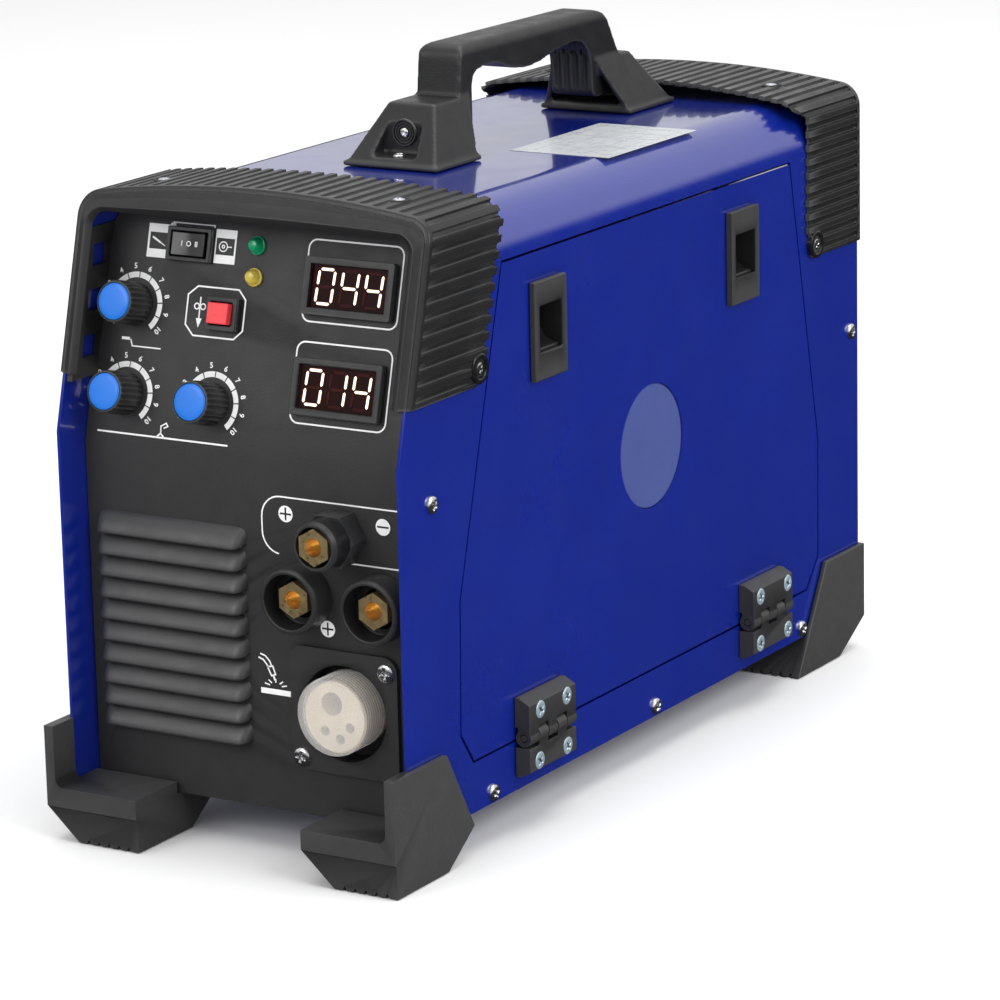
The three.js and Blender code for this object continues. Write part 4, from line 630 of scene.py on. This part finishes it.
def louvres():
    """Hooded slats that close and narrow towards both ends."""
    parts = []
    left, right = LOUVRE_LEFT, LOUVRE_RIGHT
    columns = 44
    for n in range(LOUVRES):
        top = LOUVRE_TOP - n * LOUVRE_PITCH
        rows = []
        for t, o in LOUVRE_PROFILE:
            row = []
            for i in range(columns + 1):
                f = 2 * i / columns - 1
                f = math.copysign(abs(f) ** 0.55, f)
                x = (left + right) / 2 + f * (right - left) / 2
                edge = min(x - left, right - x)
                k = min(1.0, edge / 6.0)
                bulge = math.sqrt(max(0.0, 1 - (1 - k) ** 2))
                pinch = (1 - bulge) * 2.6
                v = top - pinch * (1 - t / LOUVRE_HEIGHT) - t + pinch * (t / LOUVRE_HEIGHT)
                row.append((x, v, o * bulge - 0.25 * (1 - bulge)))
            rows.append(row)
        parts.append(strip(rows))
    return merge(parts)


add("louvres", *louvres(), LOUVRE_WITH_SHEEN, "case", FRONT, angle=60, slot="facia_plastic")


# ---------------------------------------------------------------- knobs, dials and printed marks
FLUTES = 24


def flute(a, k):
    """Depth of the flutes around a knob, on the rings of its side only."""
    return -0.42 * (0.5 - 0.5 * math.cos(FLUTES * a)) ** 0.6 if 1 < k < 7 else 0


def knob(name, u, v, body):
    skirt = [(0, 0.6), (9.4, 0.6), (9.9, 1.0), (10.0, 2.0), (9.95, 8.0), (9.85, 14.0), (9.75, 16.4),
             (9.3, 17.0), (8.75, 17.1), (8.6, 15.6), (0, 15.6)]
    add(f"knob_skirt_{name}", *turned(skirt, FLUTES * 8, flute), BLACK, body, shifted(FACIA, u, v),
        replaces=(f"knob_{name}",), slot="black_plastic")
    cap = [(0, 15.9), (8.3, 15.9), (8.4, 17.0), (8.2, 17.45), (7.7, 17.7), (6.0, 17.85), (3.0, 17.95),
           (0, 18.0)]
    add(f"knob_face_{name}", *turned(cap, 64), CAP_BLUE, body, shifted(FACIA, u, v),
        replaces=(f"knob_cap_{name}",), slot="knob_blue")


DIAL_START, DIAL_STEP = 222, 27


def dial(name, u, v):
    """Nine bars, two end ticks and ten numbers around a knob."""
    parts = []
    lo, hi = 12.2, 14.8
    for n in range(1, 10):
        a0, a1 = DIAL_START - DIAL_STEP * n - 1.2, DIAL_START - DIAL_STEP * (n + 1) + 1.2
        outer, inner = arc(0, 0, hi, a0, a1, 6), arc(0, 0, lo, a0, a1, 6)
        parts.append(slab(inner + outer[::-1], 0.01, 0.08))
    for n in (0, 1):
        a = math.radians(DIAL_START - DIAL_STEP * n)
        parts.append(line([(lo * math.cos(a), lo * math.sin(a)), (hi * math.cos(a), hi * math.sin(a))],
                          0.6))
    add(f"dial_scale_{name}", *merge(parts), WHITE, "case", shifted(FACIA, u, v))
    for n in range(1, 11):
        a = math.radians(DIAL_START - DIAL_STEP * (n - 0.5) - 4)
        lettering(f"dial_{name}_{n}", str(n), 3.6, WHITE, "case",
                  shifted(FACIA, u + 17.4 * math.cos(a), v + 17.4 * math.sin(a), 0, a - math.pi / 2))


for name, (u, v), body in (("mma_current", (-70.5, 64.3), "knob_a"),
                           ("mig_voltage", (-70.5, 23.3), "knob_b"),
                           ("wire_speed", (-23.3, 23.0), "knob_c")):
    knob(name, u, v, body)
    dial(name, u, v)


def prints():
    parts = []
    for (u0, v0, u1, v1) in ((20, 64.6, 70, 101.2), (19.5, 19.1, 69.8, 55.5)):
        box = [(p + (u0 + u1) / 2, q + (v0 + v1) / 2) for p, q in rounded(u1 - u0, v1 - v0, 4.2)]
        parts.append(line(box, 0.75, closed=True))
    octagon = [(-37, 75.3), (-14.7, 75.3), (-10.7, 71), (-10.7, 57), (-15.1, 52.9), (-37.3, 52.9),
               (-42, 57.6),
               (-42, 71.2)]
    parts.append(line(octagon, 0.75, closed=True))
    # Wire glyph: two small rolls on an arrow that points down.
    parts.append(line([(-35, 70.5), (-35, 60)], 0.7))
    parts.append(slab([(-36.6, 60.8), (-33.4, 60.8), (-35, 56.6)][::-1], 0.01, 0.08))
    for du in (-1.7, 1.7):
        parts.append(line(arc(-35 + du, 66.2, 1.3, 0, 342, 14), 0.6, closed=True))
    # Bracket over the mode switch and the two backing fields beside it.
    parts.append(line([(-55.5, 101.9), (-52.8, 101.9)], 1.5))
    parts.append(line([(-54.5, 103.0), (-31.5, 103.0), (-31.5, 102.0)], 0.6))
    for u0, u1 in ((-67.4, -55.6), (-30.4, -19)):
        parts.append(slab([(u0, 86.3), (u1, 86.3), (u1, 101.7), (u0, 101.7)], 0.01, 0.07))
    # Brackets under the dials.
    parts.append(line([(-76, 48.4), (-71.5, 48.4)], 1.3))
    parts.append(line([(-71, 48.2), (-69.8, 45.2), (-54, 45.2)], 0.6))
    parts.append(line([(-84, 5.2), (-46, 5.2), (-12, 5.2)], 0.8))
    parts.append(line([(-51.2, 5.2), (-49, 7.2), (-46.8, 5.2)], 0.7))
    parts.append(line([(-48.9, 7.2), (-49.2, 10.4), (-46.4, 12.0), (-45.4, 10.6), (-47.6, 9.6)], 0.6))
    return merge(parts)


add("facia_prints", *prints(), WHITE, "case", FACIA, angle=30)

fields = [slab([(u - 4.9, 90.2), (u + 4.9, 90.2), (u + 4.9, 97.8), (u - 4.9, 97.8)], 0.07, 0.12)
          for u in (-61.4, -24.8)]
add("mode_fields", *merge(fields), PANEL, "case", FACIA)
icon = [line([(-64.8, 95.6), (-60.2, 93.2)], 0.9, height=0.16),
        line([(-60.2, 93.2), (-57.6, 91.8)], 0.45, height=0.16),
        line(arc(-25.8, 94.0, 2.2, 0, 342, 16), 0.5, closed=True, height=0.16),
        line([(-23.6, 94.0), (-21.2, 94.0)], 0.55, height=0.16),
        line(arc(-25.8, 94.0, 0.7, 0, 330, 8), 0.5, True, 0.16)]
add("mode_icons", *merge(icon), WHITE, "case", FACIA)
lettering("mode_marks", "I  O  II", 3.4, WHITE, "mode_rocker", shifted(FACIA, -42.6, 93.6, 2.75))


# Polarity discs: place, and whether the mark is a plus.
POLARITY = ((19.1, 159.3, True), (70.7, 159.0, False), (39.8, 108.5, True))


def front_prints():
    parts = []
    top, low, left, rad = 167, 140.3, 6.2, 10
    parts.append(line([(88, top)] + arc(left + rad, top - rad, rad, 90, 180, 8) +
                      arc(left + rad, low + rad, rad, 180, 262, 8), 0.7))
    parts.append(line([(53.5, low), (88, low)], 0.7))
    for u, v, _ in POLARITY:
        disc = [(u + 3.8 * math.cos(math.radians(a)), v + 3.8 * math.sin(math.radians(a)))
                for a in range(0, 360, 12)]
        parts.append(slab(disc, 0.01, 0.07))
    # Torch over a work piece with sparks.
    parts.append(line([(2.4, 75.2), (18.8, 75.2)], 2.6))
    parts.append(line([(2.6, 92.4), (5.4, 91.6), (7.6, 89.4), (8.6, 87.2)], 0.7))
    parts.append(line([(1.6, 90.6), (4.3, 89.6), (6.0, 87.6), (6.8, 86.2)], 0.7))
    parts.append(line([(6.4, 86.6), (9.2, 87.2), (10.6, 83.4), (8.4, 82.6)], 0.7, closed=True))
    parts.append(line([(9.4, 82.8), (10.2, 80.6)], 0.9))
    for a in (20, 52, 90, 128, 160):
        c, s = math.cos(math.radians(a)), math.sin(math.radians(a))
        parts.append(line([(10.6 + 3.4 * c, 77.4 + 2.2 * s), (10.6 + 6.4 * c, 77.4 + 4.0 * s)], 0.6))
    return merge(parts)


add("panel_prints", *front_prints(), WHITE, "case", FRONT, angle=30)
bars = []
for u, v, plus in POLARITY:
    bars.append(line([(u - 3.0, v), (u + 3.0, v)], 0.8, height=0.14))
    if plus:
        bars.append(line([(u, v - 3.0), (u, v + 3.0)], 0.8, height=0.15))
add("polarity_marks", *merge(bars), DARK, "case", FRONT)

# ---------------------------------------------------------------- meters
SEGMENTS = {"0": "abcdef", "1": "bc", "4": "bcfg"}


def digit(u, v, char, lit):
    w, h, t = 4.1, 7.7, 1.25
    ends = {"a": ((-w, h), (w, h)), "b": ((w, h), (w, 0)), "c": ((w, 0), (w, -h)), "d": ((-w, -h), (w, -h)),
            "e": ((-w, 0), (-w, -h)), "f": ((-w, h), (-w, 0)), "g": ((-w, 0), (w, 0))}
    parts = []
    for key, (p, q) in ends.items():
        if (key in SEGMENTS[char]) != lit:
            continue
        p, q = Vector(p), Vector(q)
        d = (q - p).normalized()
        n = Vector((-d.y, d.x))
        a, b = p + d * 0.65, q - d * 0.65
        pts = [a, a + d * t * 0.5 + n * t / 2, b - d * t * 0.5 + n * t / 2, b, b - d * t * 0.5 - n * t / 2,
               a + d * t * 0.5 - n * t / 2]
        parts.append(slab([(u + s.x + s.y * 0.06, v + s.y) for s in pts][::-1], 0.0, 0.12))
    return parts


for name, u, v, text in (("current", 44.7, 80.6, "044"), ("voltage", 44.2, 35.6, "014")):
    at = shifted(FACIA, u, v, 1.86)
    add(f"display_{name}", *slab(rounded(40.3, 19.4, 0.8, 2), 0, 0.2), GLASS_DARK, "case", at)
    lit, unlit = [], []
    for k, char in enumerate(text):
        lit += digit((k - 1) * 12.6, 0, char, True)
        unlit += digit((k - 1) * 12.6, 0, char, False)
    add(f"digits_{name}", *merge(lit), DIGIT, "case", shifted(at, 0, 0, 0.32))
    add(f"unlit_{name}", *merge(unlit), DIGIT_OFF, "case", shifted(at, 0, 0, 0.25))

# ---------------------------------------------------------------- torch cap and its plate
CAP_AT = shifted(FRONT, 48.2, 71.6)
ribs = [(0, 10.6), (16.4, 10.6), (16.4, -3.9), (18.2, -3.9)]
for i in range(8):
    w = -3.4 + i * 1.75
    ribs += [(18.2, w), (17.55, w + 0.5), (17.55, w + 0.9), (18.2, w + 1.3)]
ribs += [(18.25, 11.2), (18.1, 12.2), (17.4, 12.8), (14, 12.9), (7, 13.0), (0, 13.0)]
add("torch_cap_shell", *turned(ribs, 96), MILKY, "torch_cap", CAP_AT, angle=60, replaces=("torch_cap",),
    slot="cap_translucent")
screws("plate_screws", [(71.8, 92.7, 2.5), (25.6, 47.5, 2.5)], "case", FRONT, 4.5, 2.2)
screws("well_screws", [(57.6, 48.0, -10.2), (63.2, 55.5, -10.2), (47.5, 92.6, -10.2)], "case", FRONT,
       1.5, 0.8, BLACK)

# ---------------------------------------------------------------- screws and spots on the sheets
SHEET_SCREWS = [(-188, 170), (-141.7, 24.4), (10, 24.4), (163.5, 24.4), (220, 169)]
screws("sheet_screws_right", [(y, z, 0) for y, z in SHEET_SCREWS], "case", RIGHT, 4.1, 2.2)
screws("sheet_screws_left", [(-y, z, 0) for y, z in SHEET_SCREWS], "case", LEFT, 4.1, 2.2)
dimple = [(0, 0.22), (1.2, 0.2), (2.2, 0.08), (2.6, 0.0)]
spots = [moved(turned(dimple, 32), y, z) for y, z in ((-132, 62), (63, 46.5), (150, 62))]
add("door_spots", *merge(spots), BLUE, "door", RIGHT)
for tag, body, z, ys in (("door_front", "door", 57, (-112, -88)), ("door_rear", "door", 57, (104, 133)),
                         ("case_front", "case", 33, (-113.5, -88)),
                         ("case_rear", "case", 33, (103.5, 133))):
    screws(f"hinge_screws_{tag}", [(y, z, 8.0) for y in ys], body, RIGHT, 4.2, 0.9, PALE_ZINC)

# ---------------------------------------------------------------- blank label on the roof
add("roof_label", *slab([(24, -2), (78, -2), (78, 84), (24, 84)], 0.05, 0.15), LABEL, "case", TOP)
blocks = []
for k in range(5):
    blocks.append(line([(70 - 9 * k, 4), (70 - 9 * k, 44)], 0.5, height=0.2))
blocks.append(line([(29, 50), (73, 50), (73, 78), (29, 78)], 0.5, True, 0.2))
blocks.append(line([(29, 64), (73, 64)], 0.5, height=0.2))
add("roof_label_rules", *merge(blocks), LABEL_INK, "case", TOP)

# ---------------------------------------------------------------- handle pocket screws
rings = [(0, -0.2), (6.6, -0.2)]
for k in range(4):
    crest = 0.9 - 0.15 * k
    rings += [(6.4 - 1.3 * k, 0.1), (6.2 - 1.3 * k, crest), (5.7 - 1.3 * k, crest), (5.5 - 1.3 * k, 0.1)]
rings.append((0, 0.1))
FRONT_POCKET = frame_of((0, -56, 0), (1, 0, 0), (0, 0, 1), (0, -1, 0))
REAR_POCKET = frame_of((0, 144, 0), (-1, 0, 0), (0, 0, 1), (0, 1, 0))
for tag, base in (("front", FRONT_POCKET), ("rear", REAR_POCKET)):
    add(f"pocket_rings_{tag}", *turned(rings, 56), BLACK, "case", shifted(base, 0, 309, 0.6))
    screws(f"pocket_screw_{tag}", [(0, 309, 0.7)], "case", base, 2.3, 1.2)
for tag, y in (("front", -62), ("rear", 150)):
    screws(f"foot_screw_{tag}", [(0, y, 5.3)], "case", TOP, 3.0, 1.2)

# ---------------------------------------------------------------- inside: wound wire and board parts
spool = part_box("wire_spool")
spool_at = frame_of((0, (spool[0].y + spool[1].y) / 2 / MM, (spool[0].z + spool[1].z) / 2 / MM), (0, 1, 0),
                    (0, 0, 1), (1, 0, 0))
x0, x1 = (spool[0].x - MID) / MM + 3.2, (spool[1].x - MID) / MM - 3.2
wound = []
turns = int((x1 - x0) / 1.6)
for i in range(turns):
    a = x0 + (x1 - x0) * i / turns
    step = (x1 - x0) / turns
    wound += [(72.3, a), (72.9, a + step * 0.25), (73.1, a + step * 0.5), (72.9, a + step * 0.75)]
wound.append((72.3, x1))
add("wound_wire", *turned(wound, 96), COPPER, "wire_spool", spool_at, angle=80)
BOARD_TOP = 152.2
CAN = [(0, 0), (10.4, 0), (11, 0.6), (11, 33), (10.2, 34), (9.4, 33.6), (0, 33.6)]
cans, boxes = [], []
for x, y in ((-70, -110), (-44, -110), (-70, -84), (-44, -84), (-70, 110), (-44, 110)):
    cans.append(moved(turned(CAN, 40), x, y, BOARD_TOP))
for x, y, w, d, h in ((-48, -20, 46, 50, 28), (-48, 52, 40, 40, 34)):
    boxes.append(moved(slab(rounded(w, d, 4), 0, h), x, y, BOARD_TOP))
add("board_cans", *merge(cans), GLOSS, "case", WORLD)
add("board_blocks", *merge(boxes), FEEDER, "case", WORLD, bevel=0.8)

# ---------------------------------------------------------------- studio
bpy.ops.mesh.primitive_plane_add(size=14, location=(0, 0, -0.0005))
floor = bpy.context.object
floor.name = "studio_floor"
floor.data.materials.append(FLOOR)
floor.visible_glossy = False


def area(name, place, look_at, size, power):
    light = bpy.data.lights.new(name, "AREA")
    light.shape = "RECTANGLE"
    light.size, light.size_y = size
    light.energy = power
    holder = bpy.data.objects.new(name, light)
    bpy.context.scene.collection.objects.link(holder)
    holder.location = place
    holder.rotation_euler = (Vector(look_at) - Vector(place)).to_track_quat("-Z", "Y").to_euler()


area("key_right", (2.6, -0.3, 1.9), (0, 0, 0.15), (2.2, 1.6), 48)
area("fill_front", (-0.9, -2.9, 1.7), (0, -0.1, 0.15), (1.8, 1.4), 30)
area("top_soft", (0, 0.4, 3.0), (0, 0, 0.2), (2.6, 2.6), 52)

world = bpy.data.worlds.new("studio")
bpy.context.scene.world = world
world.use_nodes = True
wn, wl = world.node_tree.nodes, world.node_tree.links.new
wn.clear()
w_out = wn.new("ShaderNodeOutputWorld")
paths = wn.new("ShaderNodeLightPath")
seen, ambient = wn.new("ShaderNodeBackground"), wn.new("ShaderNodeBackground")
seen.inputs["Color"].default_value = (0.95, 0.95, 0.95, 1)
seen.inputs["Strength"].default_value = 1.0
coord = wn.new("ShaderNodeTexCoord")
axes = wn.new("ShaderNodeSeparateXYZ")
wl(coord.outputs["Generated"], axes.inputs[0])
horizon = wn.new("ShaderNodeMapRange")
horizon.inputs["From Min"].default_value = -0.02
horizon.inputs["From Max"].default_value = 0.12
horizon.inputs["To Min"].default_value = 0.03
horizon.inputs["To Max"].default_value = 1.0
wl(axes.outputs["Z"], horizon.inputs["Value"])
wl(horizon.outputs["Result"], ambient.inputs["Color"])
ambient.inputs["Strength"].default_value = 0.75
blend = wn.new("ShaderNodeMixShader")
wl(paths.outputs["Is Camera Ray"], blend.inputs[0])
wl(ambient.outputs[0], blend.inputs[1])
wl(seen.outputs[0], blend.inputs[2])
wl(blend.outputs[0], w_out.inputs[0])
bpy.context.scene.view_settings.view_transform = "Standard"

AZ, EL, ROLL, DIST = math.radians(31.68), math.radians(14.1), math.radians(-1.4), 2.1627
target = Vector((MID, 0, 0.1213))
ahead = Vector((-math.sin(AZ) * math.cos(EL), math.cos(AZ) * math.cos(EL), -math.sin(EL)))
right = Vector((math.cos(AZ), math.sin(AZ), 0))
up = right.cross(ahead)
right, up = right * math.cos(ROLL) + up * math.sin(ROLL), up * math.cos(ROLL) - right * math.sin(ROLL)
lens = bpy.data.cameras.new("camera")
camera = bpy.data.objects.new("camera", lens)
bpy.context.scene.collection.objects.link(camera)
pose = Matrix((right, up, -ahead)).transposed().to_4x4()
pose.translation = target - ahead * DIST
camera.matrix_world = pose
lens.sensor_width = 36
lens.lens = 159.822
lens.shift_x, lens.shift_y = 0.02255, -0.004
bpy.context.scene.camera = camera
